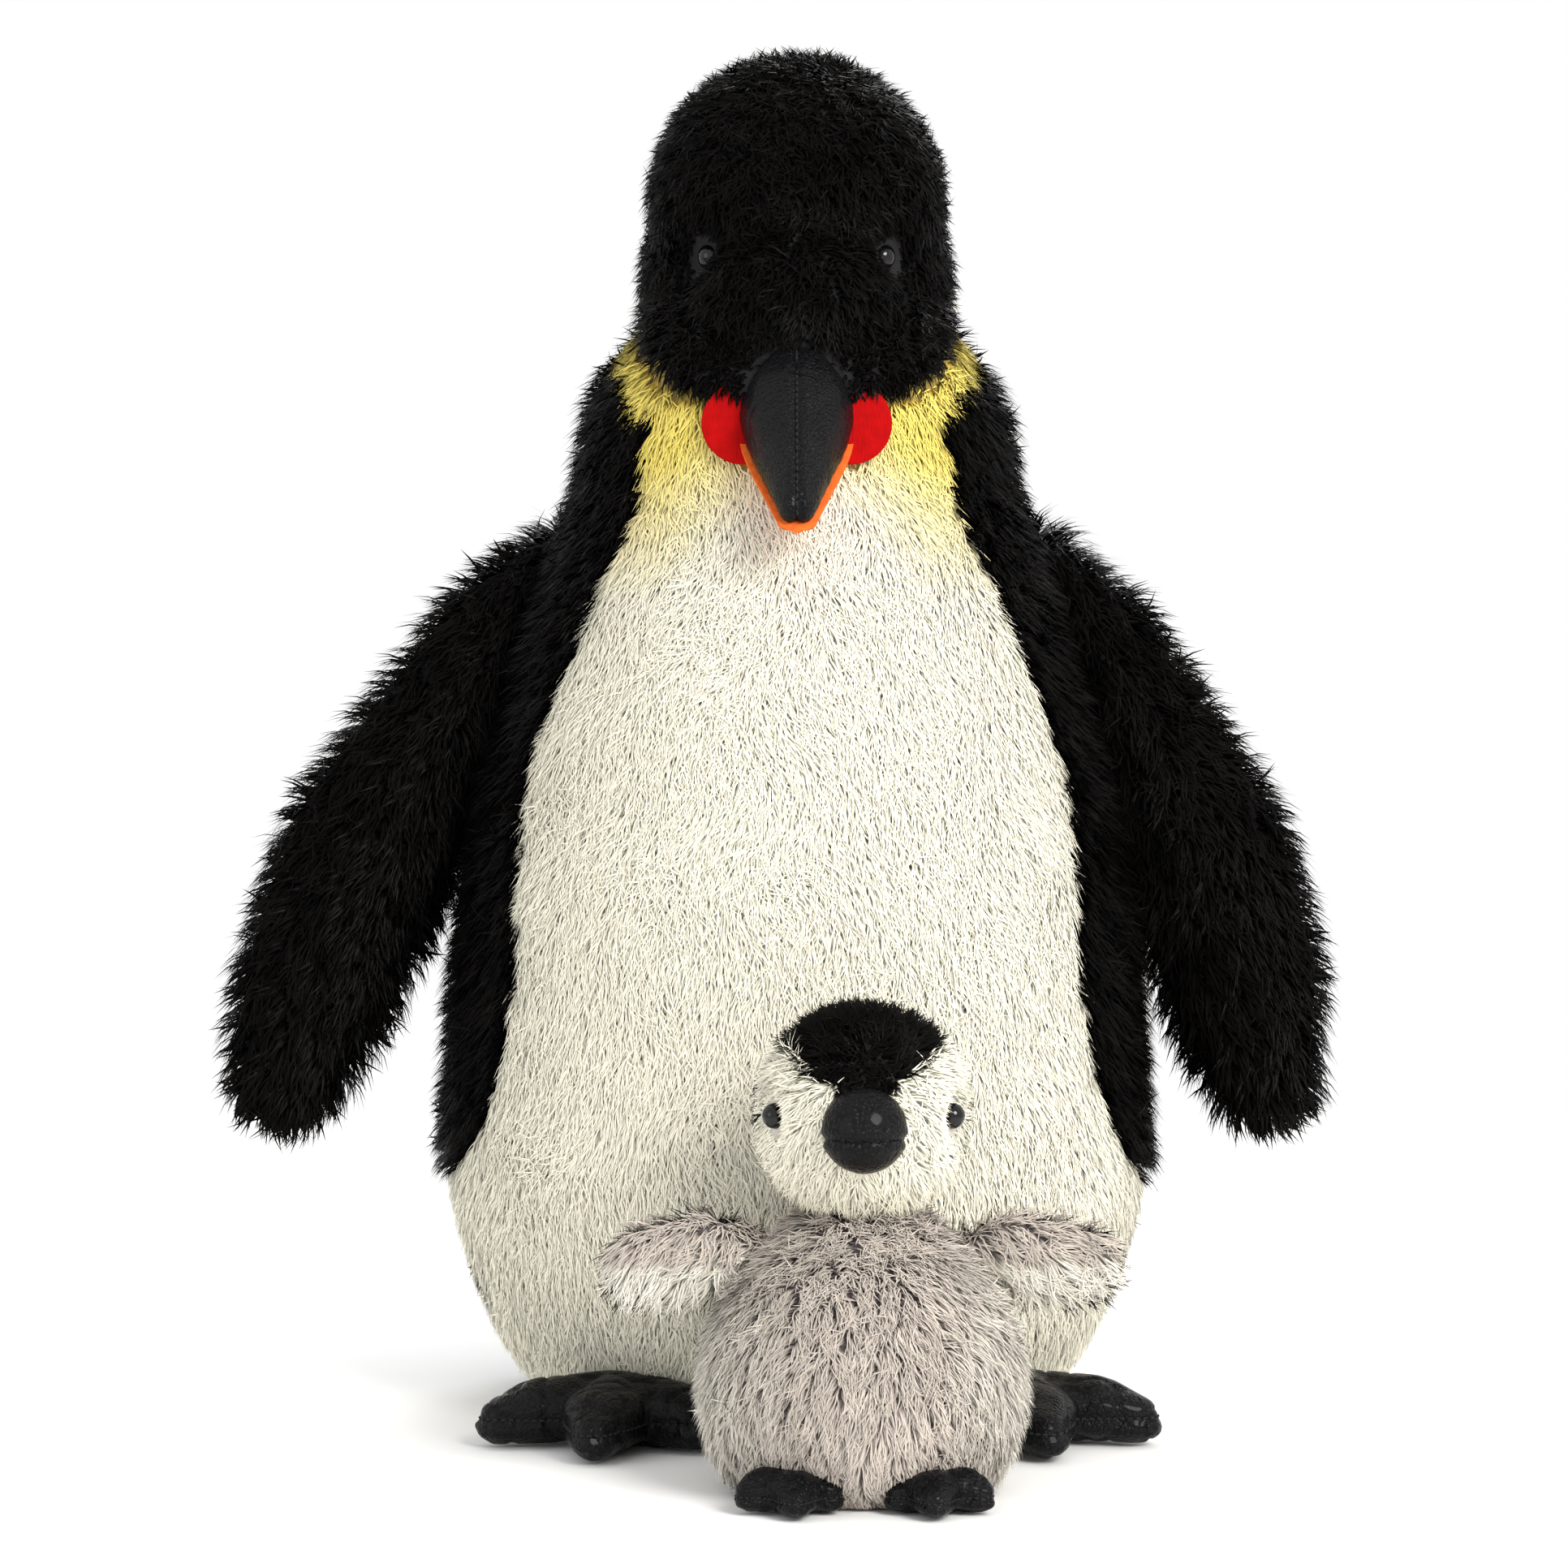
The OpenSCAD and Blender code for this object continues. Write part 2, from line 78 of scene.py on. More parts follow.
def new_group(name, inputs, outputs):
    """inputs is {socket name: default}, where a 4-tuple is a colour; outputs is {socket name: kind}."""
    tree = bpy.data.node_groups.new(name, "ShaderNodeTree")
    for label, default in inputs.items():
        kind = "colour" if isinstance(default, tuple) else "value"
        socket = tree.interface.new_socket(label, in_out="INPUT", socket_type=SOCKETS[kind])
        socket.default_value = default
    for label, kind in outputs.items():
        tree.interface.new_socket(label, in_out="OUTPUT", socket_type=SOCKETS[kind])
    return tree, tree.nodes.new("NodeGroupInput"), tree.nodes.new("NodeGroupOutput")


def node(tree, kind, settings=None, **inputs):
    """Adds a node. An input is named, with _ for a space, or numbered as i0, i1 and so on. One that is
    given a socket is linked, and any other value is set."""
    made = tree.nodes.new(kind)
    for setting, value in (settings or {}).items():
        setattr(made, setting, value)
    for label, value in inputs.items():
        key = int(label[1:]) if label[1:].isdigit() else label.replace("_", " ")
        socket = made.inputs[key]
        if isinstance(value, bpy.types.NodeSocket):
            tree.links.new(value, socket)
        else:
            socket.default_value = value
    return made


def maths(tree, operation, a, b=0.0):
    return node(tree, "ShaderNodeMath", {"operation": operation}, i0=a, i1=b).outputs[0]


def mix(tree, factor, a, b):
    return node(tree, "ShaderNodeMix", {"data_type": "RGBA"}, i0=factor, i6=a, i7=b).outputs[2]


def attribute(tree, name):
    return node(tree, "ShaderNodeAttribute", {"attribute_name": name})


def use_group(tree, group, **inputs):
    return node(tree, "ShaderNodeGroup", {"node_tree": group}, **inputs)


def new_material(name, **values):
    """A material with its Principled BSDF's constant inputs set."""
    material = bpy.data.materials.new(name)
    material.use_nodes = True
    shader = material.node_tree.nodes["Principled BSDF"]
    for label, value in values.items():
        shader.inputs[label.replace("_", " ")].default_value = value
    return material, material.node_tree, shader


print("node helpers ready")

# %% [markdown]
# Plush looks soft only in soft light. A big lamp above the front right is the key, a weaker one on the
# left opens the shadows, and a third behind rims the black pile so that its tufts read. The floor is a
# plain pale sweep.

# %% Floor and lamps
def add_lamp(name, place, aim, size, watts, colour=(1, 1, 1)):
    """A round area lamp, size metres across, turned to face aim."""
    data = bpy.data.lights.new(name, "AREA")
    data.shape = "DISK"
    data.size = size
    data.energy = watts
    data.color = colour
    lamp = bpy.data.objects.new(name, data)
    bpy.context.scene.collection.objects.link(lamp)
    lamp.location = place
    lamp.rotation_euler = (Vector(aim) - Vector(place)).to_track_quat("-Z", "Y").to_euler()


FLOOR_HALF = 30
SWEEP_STARTS = 0.45
SWEEP_ENDS = 1.5


def add_floor():
    """A white floor round the toy that turns into an evenly lit sweep further off, so no horizon shows."""
    mesh = bpy.data.meshes.new("floor")
    corners = [(FLOOR_HALF * x, FLOOR_HALF * y, 0) for x, y in ((-1, -1), (1, -1), (1, 1), (-1, 1))]
    mesh.from_pydata(corners, [], [(0, 1, 2, 3)])
    floor = bpy.data.objects.new("floor", mesh)
    bpy.context.scene.collection.objects.link(floor)
    material, tree, shader = new_material(
        "pale_floor", Base_Color=(0.93, 0.93, 0.925, 1), Roughness=0.9, Specular_IOR_Level=0.1
    )
    place = node(tree, "ShaderNodeTexCoord").outputs["Object"]
    far_off = node(tree, "ShaderNodeVectorMath", {"operation": "LENGTH"}, i0=place).outputs["Value"]
    fade = node(tree, "ShaderNodeMapRange", Value=far_off, From_Min=SWEEP_STARTS, From_Max=SWEEP_ENDS)
    sweep = node(tree, "ShaderNodeEmission").outputs["Emission"]
    both = node(
        tree, "ShaderNodeMixShader", i0=fade.outputs["Result"], i1=shader.outputs["BSDF"], i2=sweep
    ).outputs[0]
    tree.links.new(both, tree.nodes["Material Output"].inputs["Surface"])
    mesh.materials.append(material)


add_lamp("key", (1.2, -2.0, 1.4), (0, -0.05, 0.3), 1.2, 62, (1, 0.98, 0.94))
add_lamp("fill", (-1.9, -1.6, 0.8), (0, 0, 0.3), 1.4, 6, (0.92, 0.96, 1))
add_lamp("rim", (0.3, 1.7, 1.7), (0, 0, 0.4), 1.2, 22)
add_floor()
world = bpy.data.worlds.new("studio")
world.use_nodes = True
world.node_tree.nodes["Background"].inputs["Color"].default_value = (1, 1, 1, 1)
world.node_tree.nodes["Background"].inputs["Strength"].default_value = 1.0
bpy.context.scene.world = world
bpy.context.scene.view_settings.view_transform = "Standard"

# %% [markdown]
# Pile is dyed yarn, and no two locks are quite alike. Its colour also holds painted shade and painted
# highlight: each strand is painted darker at the root, where the strands crowd together, and paler at
# the tip, where it would catch the light. Each strand carries three attributes: how far along it a
# point is, its own shade, and how much of a second dye it took. One group turns them into colour.
# A second group leans each flat strand's normal towards the cloth's, so that the pile is lit as one
# soft surface with a fine grain.

# %% Pile colour and pile normal groups
def build_pile_colour():
    tree, given, out = new_group(
        "pile_colour",
        {
            "Root": (0, 0, 0, 1),
            "Tip": (1, 1, 1, 1),
            "Dyed Root": (0, 0, 0, 1),
            "Dyed Tip": (1, 1, 1, 1),
            "Spread": 0.2,
        },
        {"Color": "colour"},
    )
    sockets = given.outputs
    along = attribute(tree, "along").outputs["Fac"]
    shade = attribute(tree, "shade").outputs["Fac"]
    dyed = attribute(tree, "dyed").outputs["Fac"]
    root = mix(tree, dyed, sockets["Root"], sockets["Dyed Root"])
    tip = mix(tree, dyed, sockets["Tip"], sockets["Dyed Tip"])
    # Painted shade to painted highlight: 0 at the shaded root, 1 at the lit tip.
    painted_light_along = maths(tree, "POWER", along, 0.8)
    strand = mix(tree, painted_light_along, root, tip)
    swing = maths(tree, "MULTIPLY", maths(tree, "SUBTRACT", shade, 0.5), sockets["Spread"])
    level = maths(tree, "ADD", maths(tree, "MULTIPLY", swing, 2.0), 1.0)
    lit = node(tree, "ShaderNodeVectorMath", {"operation": "SCALE"}, i0=strand, Scale=level).outputs[0]
    tree.links.new(lit, out.inputs["Color"])
    return tree


def build_pile_normal():
    tree, given, out = new_group("pile_normal", {"Softness": 0.6}, {"Normal": "vector"})
    cloth = attribute(tree, "cloth_normal").outputs["Vector"]
    turned = node(
        tree, "ShaderNodeVectorTransform",
        {"vector_type": "NORMAL", "convert_from": "OBJECT", "convert_to": "WORLD"}, Vector=cloth,
    ).outputs[0]
    own = node(tree, "ShaderNodeNewGeometry").outputs["Normal"]
    blended = node(
        tree, "ShaderNodeMix", {"data_type": "VECTOR"}, i0=given.outputs["Softness"], i4=own, i5=turned
    ).outputs[1]
    unit = node(tree, "ShaderNodeVectorMath", {"operation": "NORMALIZE"}, i0=blended).outputs[0]
    tree.links.new(unit, out.inputs["Normal"])
    return tree


PILE_COLOUR = build_pile_colour()
PILE_NORMAL = build_pile_normal()
print("groups:", PILE_COLOUR.name, PILE_NORMAL.name)

# %% [markdown]
# Leatherette is a plastic skin rolled with a pebble grain. Voronoi cells at about a millimetre give
# the pebbles, a finer noise breaks them up, and a slow noise gives the uneven polish. Felt is pressed
# wool: short fibres lying every way, so two stretched noises at an angle give its surface. Woven
# backing cloth is two crossed sets of waves.

# %% Leather grain, felt and weave groups
def build_grain():
    tree, given, out = new_group(
        "pebble_grain", {"Pebble": 1.1, "Wrinkle": 0.3}, {"Height": "value", "Polish": "value"}
    )
    place = node(tree, "ShaderNodeTexCoord").outputs["Object"]
    scale = maths(tree, "DIVIDE", 1000.0, given.outputs["Pebble"])
    bend = node(tree, "ShaderNodeTexNoise", Vector=place, Scale=260.0, Detail=1.0)
    offset = node(
        tree, "ShaderNodeVectorMath", {"operation": "SCALE"}, i0=bend.outputs["Color"], Scale=0.0012
    ).outputs[0]
    bent = node(tree, "ShaderNodeVectorMath", i0=place, i1=offset).outputs[0]
    cell = node(
        tree, "ShaderNodeTexVoronoi", {"feature": "SMOOTH_F1"}, Vector=bent, Scale=scale, Smoothness=0.35
    )
    pebble = maths(tree, "SUBTRACT", 1.0, cell.outputs["Distance"])
    creases = node(
        tree, "ShaderNodeTexNoise", {"noise_type": "RIDGED_MULTIFRACTAL"}, Vector=place, Scale=55.0
    )
    creased = maths(tree, "MULTIPLY", creases.outputs["Fac"], given.outputs["Wrinkle"])
    height = maths(tree, "SUBTRACT", pebble, creased)
    slow = node(tree, "ShaderNodeTexNoise", Vector=place, Scale=42.0, Detail=2.0).outputs["Fac"]
    tree.links.new(height, out.inputs["Height"])
    tree.links.new(slow, out.inputs["Polish"])
    return tree


def build_felt():
    tree, given, out = new_group("pressed_felt", {"Fibre": 900.0}, {"Height": "value", "Mottle": "value"})
    place = node(tree, "ShaderNodeTexCoord").outputs["Object"]
    layers = []
    for turn in (35, -50):
        laid = node(
            tree, "ShaderNodeMapping", Vector=place, Rotation=(0, math.radians(turn), 0), Scale=(1, 1, 0.16)
        ).outputs[0]
        fibres = node(tree, "ShaderNodeTexNoise", Vector=laid, Scale=given.outputs["Fibre"], Detail=2.0)
        layers.append(fibres.outputs["Fac"])
    height = maths(tree, "MAXIMUM", layers[0], layers[1])
    mottle = node(tree, "ShaderNodeTexNoise", Vector=place, Scale=230.0, Detail=3.0).outputs["Fac"]
    tree.links.new(height, out.inputs["Height"])
    tree.links.new(mottle, out.inputs["Mottle"])
    return tree


def build_weave():
    tree, given, out = new_group("plain_weave", {"Threads": 900.0}, {"Height": "value"})
    place = node(tree, "ShaderNodeTexCoord").outputs["Object"]
    waves = []
    for direction in ("X", "Z"):
        wave = node(
            tree, "ShaderNodeTexWave", {"bands_direction": direction},
            Vector=place, Scale=given.outputs["Threads"], Distortion=0.4,
        )
        waves.append(wave.outputs["Fac"])
    tree.links.new(maths(tree, "MAXIMUM", waves[0], waves[1]), out.inputs["Height"])
    return tree


GRAIN = build_grain()
FELT = build_felt()
WEAVE = build_weave()
print("groups:", GRAIN.name, FELT.name, WEAVE.name)

# %% [markdown]
# The dyes. Each is a root colour and a tip colour; the darker root is painted shade and the paler tip
# is painted highlight. Black pile is a very dark brown, and its tips are painted grey-brown as a
# highlight where light would rake them. White pile is a warm cream, and its second dye is the yellow
# at the neck. The chick's grey pile has pale tips over a mauve-grey root, and its second dye is paler
# still.

# %% Pile materials
def pile_material(name, undyed, dyed, spread, rough, shine, softness):
    """undyed and dyed are each the colours of a strand's root and tip, with painted shade in the
    root's colour and painted highlight in the tip's.
    """
    (root, tip), (dyed_root, dyed_tip) = undyed, dyed
    material, tree, shader = new_material(name, Roughness=rough, Specular_IOR_Level=shine)
    colour = use_group(
        tree, PILE_COLOUR, Root=(*root, 1), Tip=(*tip, 1),
        Dyed_Root=(*dyed_root, 1), Dyed_Tip=(*dyed_tip, 1), Spread=spread,
    )
    normal = use_group(tree, PILE_NORMAL, Softness=softness)
    tree.links.new(colour.outputs["Color"], shader.inputs["Base Color"])
    tree.links.new(normal.outputs["Normal"], shader.inputs["Normal"])
    return material


# Each pair is a root colour darkened with painted shade and a tip colour paled with painted highlight.
BLACK_DYE_AND_PAINTED_LIGHT = ((0.0005, 0.0004, 0.0004), (0.0042, 0.0035, 0.0032))
CREAM_DYE_AND_PAINTED_LIGHT = ((0.94, 0.895, 0.71), (0.955, 0.91, 0.745))
YELLOW_DYE_AND_PAINTED_LIGHT = ((0.8, 0.48, 0.04), (0.97, 0.82, 0.2))
GREY_DYE_AND_PAINTED_LIGHT = ((0.24, 0.2, 0.18), (0.62, 0.55, 0.48))
# The paler dye is darkened with painted shade, as for the underside of a wing in shadow.
PALE_DYE_AND_PAINTED_SHADE = ((0.62, 0.58, 0.49), (0.82, 0.78, 0.68))
BLACK_PILE = pile_material(
    "black_pile", BLACK_DYE_AND_PAINTED_LIGHT, BLACK_DYE_AND_PAINTED_LIGHT, spread=0.85, rough=0.36, shine=0.028, softness=0.3
)
WHITE_PILE = pile_material(
    "white_pile", CREAM_DYE_AND_PAINTED_LIGHT, YELLOW_DYE_AND_PAINTED_LIGHT, spread=0.02, rough=0.75, shine=0.08, softness=0.98
)
GREY_PILE = pile_material(
    "grey_pile", GREY_DYE_AND_PAINTED_LIGHT, PALE_DYE_AND_PAINTED_SHADE, spread=0.22, rough=0.6, shine=0.12, softness=0.75
)
print("pile:", BLACK_PILE.name, WHITE_PILE.name, GREY_PILE.name)

# %% [markdown]
# Under the pile is woven backing cloth. The leather, felt, thread and plastic each take one of the
# groups above, or a plain noise where the surface is smooth.

# %% Cloth, leather, felt and plastic materials
def bumped(tree, shader, height, distance, strength=1.0):
    bump = node(tree, "ShaderNodeBump", Height=height, Distance=distance, Strength=strength)
    tree.links.new(bump.outputs["Normal"], shader.inputs["Normal"])


# Painted shade: how much darker the cloth's colour is painted between the threads.
PAINTED_SHADE_BETWEEN_THREADS = 0.7


def cloth_material(name, colour, threads=900.0):
    """The woven backing that the pile is rooted in."""
    material, tree, shader = new_material(name, Roughness=0.9)
    weave = use_group(tree, WEAVE, Threads=threads).outputs["Height"]
    # Painted shade: the colour is darker where the weave is low, between the threads.
    dark = tuple(PAINTED_SHADE_BETWEEN_THREADS * c for c in colour)
    shade = mix(tree, weave, (*dark, 1), (*colour, 1))
    tree.links.new(shade, shader.inputs["Base Color"])
    bumped(tree, shader, weave, 0.0002)
    return material


def leather_material(name, dark, light):
    """Half-gloss leatherette: a pebble grain, and a polish that comes and goes."""
    material, tree, shader = new_material(name, Coat_Roughness=0.12, Specular_IOR_Level=0.06)
    grain = use_group(tree, GRAIN, Pebble=1.5, Wrinkle=0.6)
    polish = grain.outputs["Polish"]
    # Painted shade and highlight: hollows and creases of the grain are painted darker, pebble tops lighter.
    tree.links.new(mix(tree, grain.outputs["Height"], (*dark, 1), (*light, 1)), shader.inputs["Base Color"])
    rough = maths(tree, "ADD", maths(tree, "MULTIPLY", polish, -0.3), 0.42)
    tree.links.new(rough, shader.inputs["Roughness"])
    tree.links.new(maths(tree, "MULTIPLY", polish, 0.2), shader.inputs["Coat Weight"])
    bumped(tree, shader, grain.outputs["Height"], 0.0009)
    return material


def felt_material(name, dark, light):
    material, tree, shader = new_material(name, Roughness=0.95, Specular_IOR_Level=0.1)
    felt = use_group(tree, FELT, Fibre=900.0)
    tree.links.new(mix(tree, felt.outputs["Mottle"], (*dark, 1), (*light, 1)), shader.inputs["Base Color"])
    bumped(tree, shader, felt.outputs["Height"], 0.0006)
    return material


def moulded_material(name, colour, rough):
    """Moulded plastic, with the faint waviness of the mould's polish."""
    material, tree, shader = new_material(name, Base_Color=(*colour, 1), Specular_IOR_Level=0.4)
    place = node(tree, "ShaderNodeTexCoord").outputs["Object"]
    wear = node(tree, "ShaderNodeTexNoise", Vector=place, Scale=400.0, Detail=2.0).outputs["Fac"]
    tree.links.new(maths(tree, "ADD", maths(tree, "MULTIPLY", wear, 0.06), rough), shader.inputs["Roughness"])
    bumped(tree, shader, wear, 0.00003, 0.5)
    return material


def fibre_material(name, colour):
    material, tree, shader = new_material(name, Base_Color=(*colour, 1), Roughness=1.0)
    place = node(tree, "ShaderNodeTexCoord").outputs["Object"]
    curl = node(tree, "ShaderNodeTexNoise", Vector=place, Scale=160.0, Detail=4.0, Distortion=1.5)
    bumped(tree, shader, curl.outputs["Fac"], 0.002)
    return material


BLACK_CLOTH = cloth_material("black_backing", (0.008, 0.007, 0.008))
WHITE_CLOTH = cloth_material("white_backing", (0.75, 0.7, 0.6))
YELLOW_CLOTH = cloth_material("yellow_backing", (0.75, 0.55, 0.12))
GREY_CLOTH = cloth_material("grey_backing", (0.2, 0.17, 0.17))
BAG_CLOTH = cloth_material("pellet_bag_cloth", (0.7, 0.62, 0.48), 500.0)
LEATHER = leather_material("black_leatherette", (0.0025, 0.0025, 0.003), (0.008, 0.008, 0.009))
RED_FELT = felt_material("red_felt", (0.26, 0.001, 0.0015), (0.46, 0.0025, 0.003))
ORANGE_FELT = felt_material("orange_felt", (0.6, 0.08, 0.012), (0.85, 0.18, 0.03))
EYE_PLASTIC = moulded_material("eye_plastic", (0.002, 0.0016, 0.0016), 0.03)
WASHER_PLASTIC = moulded_material("washer_plastic", (0.8, 0.8, 0.78), 0.45)
FIBRE_FILL = fibre_material("fibre_fill", (0.9, 0.9, 0.88))
THREAD = cloth_material("black_thread", (0.012, 0.012, 0.013), 1600.0)
PLUSH = {
    "black": ("black_plush", BLACK_PILE, BLACK_CLOTH),
    "white": ("white_plush", WHITE_PILE, WHITE_CLOTH),
    "yellow": ("yellow_plush", WHITE_PILE, YELLOW_CLOTH),
    "grey": ("grey_plush", GREY_PILE, GREY_CLOTH),
    "cream": ("cream_plush", GREY_PILE, WHITE_CLOTH),
}
print("materials:", len(bpy.data.materials))

# %% [markdown]
# Some pieces sit inside, where no one sees them: the fibre filling, the pellet bags, and the washers
# that lock the eyes on. Their CAD shapes are right, so they only need their finish.

# %% Inner pieces
for name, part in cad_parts.items():
    if name.endswith("stuffing"):
        finish = FIBRE_FILL
    elif name.endswith("pellet_bag"):
        finish = BAG_CLOTH
    elif "washer" in name:
        finish = WASHER_PLASTIC
    else:
        continue
    part.data.materials.clear()
    part.data.materials.append(finish)
print("inner pieces dressed")

# %% [markdown]
# A stuffed toy is sewn flat and then filled until the cloth is tight. So each bag starts as the
# filling's own shape, remeshed evenly, and Blender's Cloth blows it up against a cap, which is where
# the sewn cloth stops stretching. The result is rounder than the CAD solid and a little uneven, as
# a filled bag is. The steps are: copy, remesh, simulate, cap, smooth.

# %% Mesh helpers
def link(name, mesh):
    made = bpy.data.objects.new(name, mesh)
    bpy.context.scene.collection.objects.link(made)
    return made


def evaluated(source, name):
    """The object's mesh with its modifiers applied, as a new mesh."""
    graph = bpy.context.evaluated_depsgraph_get()
    mesh = bpy.data.meshes.new_from_object(source.evaluated_get(graph))
    mesh.name = name
    return mesh


SAME_POINT = 0.00002


def merged_copy(node_names, name):
    """A copy of the CAD nodes' meshes with their loose triangles joined."""
    work = bmesh.new()
    for node_name in node_names:
        work.from_mesh(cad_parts[node_name].data)
    bmesh.ops.remove_doubles(work, verts=work.verts, dist=SAME_POINT)
    mesh = bpy.data.meshes.new(name)
    work.to_mesh(mesh)
    work.free()
    return link(name, mesh)


def apply_modifiers(thing):
    mesh = evaluated(thing, thing.data.name)
    thing.modifiers.clear()
    thing.data = mesh


def largest_island(mesh):
    """Removes every loose part but the largest one, such as the walls of an inner hollow."""
    work = bmesh.new()
    work.from_mesh(mesh)
    left = set(work.verts)
    islands = []
    while left:
        front = [left.pop()]
        island = list(front)
        while front:
            for edge in front.pop().link_edges:
                for vert in edge.verts:
                    if vert in left:
                        left.discard(vert)
                        front.append(vert)
                        island.append(vert)
        islands.append(island)
    islands.sort(key=len)
    for island in islands[:-1]:
        bmesh.ops.delete(work, geom=island, context="VERTS")
    work.to_mesh(mesh)
    work.free()


def kept_faces(mesh, keep, name):
    """A copy of the mesh with only the faces for which keep(face) is true."""
    work = bmesh.new()
    work.from_mesh(mesh)
    gone = [face for face in work.faces if not keep(face)]
    bmesh.ops.delete(work, geom=gone, context="FACES")
    kept = bpy.data.meshes.new(name)
    work.to_mesh(kept)
    work.free()
    return kept


def turn_faces_out(mesh):
    work = bmesh.new()
    work.from_mesh(mesh)
    bmesh.ops.recalc_face_normals(work, faces=work.faces)
    work.to_mesh(mesh)
    work.free()


def smooth_shaded(thing, material):
    """Gives the whole thing one material and smooth shading."""
    thing.data.materials.clear()
    thing.data.materials.append(material)
    thing.data.polygons.foreach_set("use_smooth", [True] * len(thing.data.polygons))


def run_tree(work, group, values, name):
    """Runs a Geometry Nodes tree on an object, which is used up, and returns the result as a piece."""
    modifier = work.modifiers.new(group.name, "NODES")
    modifier.node_group = group
    for item in group.interface.items_tree:
        if item.in_out == "INPUT" and item.name in values:
            modifier[item.identifier] = values[item.name]
    piece = link(name, evaluated(work, name))
    bpy.data.objects.remove(work)
    return piece


print("mesh helpers ready")


# %% Fill a bag with the cloth simulation
FRAMES = 20
LEAST_SWELL = 0.8
MOST_SWELL = 1.25
MOST_SHIFT = 0.5


def remeshed(thing, voxel, soften):
    remesh = thing.modifiers.new("remesh", "REMESH")
    remesh.mode = "VOXEL"
    remesh.voxel_size = voxel
    if soften:
        smooth = thing.modifiers.new("smooth", "SMOOTH")
        smooth.iterations = soften
        smooth.factor = 0.5
    apply_modifiers(thing)
    largest_island(thing.data)


def simulate(thing, pressure):
    scene = bpy.context.scene
    cloth = thing.modifiers.new("cloth", "CLOTH")
    settings = cloth.settings
    settings.quality = 5
    settings.mass = 0.3
    settings.use_pressure = True
    settings.uniform_pressure_force = pressure
    settings.effector_weights.gravity = 0
    settings.tension_stiffness = 12
    settings.compression_stiffness = 12
    settings.bending_stiffness = 0.5
    cloth.point_cache.frame_start = 1
    cloth.point_cache.frame_end = FRAMES
    for step in range(1, FRAMES + 1):
        scene.frame_set(step)
    apply_modifiers(thing)
    scene.frame_set(1)


def filled_bag(node_names, name, voxel, swell, pressure=4.0, soften=6, finer=0):
    """The bag round the named CAD nodes, which swells by about swell metres when it is filled."""
    thing = merged_copy(node_names, name)
    remeshed(thing, voxel, soften)
    start = [v.co.copy() for v in thing.data.vertices]
    normals = [v.normal.copy() for v in thing.data.vertices]
    simulate(thing, pressure)
    for vert, place, normal in zip(thing.data.vertices, start, normals):
        moved = vert.co - place
        outward = min(max(moved.dot(normal), LEAST_SWELL * swell), MOST_SWELL * swell)
        sideways = moved - normal * moved.dot(normal)
        if sideways.length > MOST_SHIFT * swell:
            sideways *= MOST_SHIFT * swell / sideways.length
        vert.co = place + normal * outward + sideways
    if finer:
        thing.modifiers.new("finer", "SUBSURF").levels = finer
        thing.modifiers["finer"].render_levels = finer
        apply_modifiers(thing)
    print(f"{name}: {len(thing.data.polygons)} faces")
    return thing


# %% [markdown]
# A bag is sewn from panels. The CAD panels say which part of the bag is which, so each face goes to
# the panel that is nearest to it. The pile is planted on that open patch, and then the patch gets a
# thickness inwards, which makes it a closed piece of cloth.

# %% Cut a bag into its panels
def surface_of(*node_names):
    """A search tree over the CAD nodes' triangles."""
    points, faces = [], []
    for name in node_names:
        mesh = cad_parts[name].data
        first = len(points)
        points += [v.co.copy() for v in mesh.vertices]
        faces += [tuple(first + i for i in p.vertices) for p in mesh.polygons]
    return BVHTree.FromPolygons(points, faces)


def cut_into_panels(bag, panels):
    """Returns {panel: open patch}. A face goes to the nearest CAD panel."""
    trees = {panel: surface_of(panel) for panel in panels}
    owner = {}
    for face in bag.data.polygons:
        found = {panel: trees[panel].find_nearest(face.center)[3] for panel in panels}
        owner[face.index] = min(found, key=found.get)
    patches = {}
    for panel in panels:
        mesh = kept_faces(bag.data, lambda face, panel=panel: owner[face.index] == panel, panel)
        patches[panel] = link(panel + "_patch", mesh)
    bpy.data.objects.remove(bag)
    return patches


def cloth_piece(patch, name, body, slot, material, *nodes, thick=0.0015, fill=0.8):
    """Gives an open patch its thickness inwards, its material and smooth shading, and attaches it to its
    body; the CAD nodes it replaces are hidden.
    """
    piece = link(name, patch.data.copy())
    solid = piece.modifiers.new("thickness", "SOLIDIFY")
    solid.thickness = thick
    solid.offset = -1
    apply_modifiers(piece)
    smooth_shaded(piece, material)
    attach(piece, body)
    if nodes:
        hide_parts(*nodes)


print("panel helpers ready")

# %% [markdown]
# ## Pile
# Plush is thousands of strands that stand up from the cloth, lean the way they were brushed, and
# gather into small locks. Geometry Nodes plant them. Points are scattered over a patch, and each gets
# one strand: a flat blade of three faces, standing on the cloth's normal and bending to one side.
# Which side is the sum of the brushing direction, a pull towards the middle of its lock, a slow sway
# over the whole cloth, and a random stray. A lock is one Voronoi cell. The strands of a lock meet at
# their tips, which is what makes plush look tufted. The cloth can carry two attributes: pile, the
# strand's relative length, and dyed, how much second dye it took.

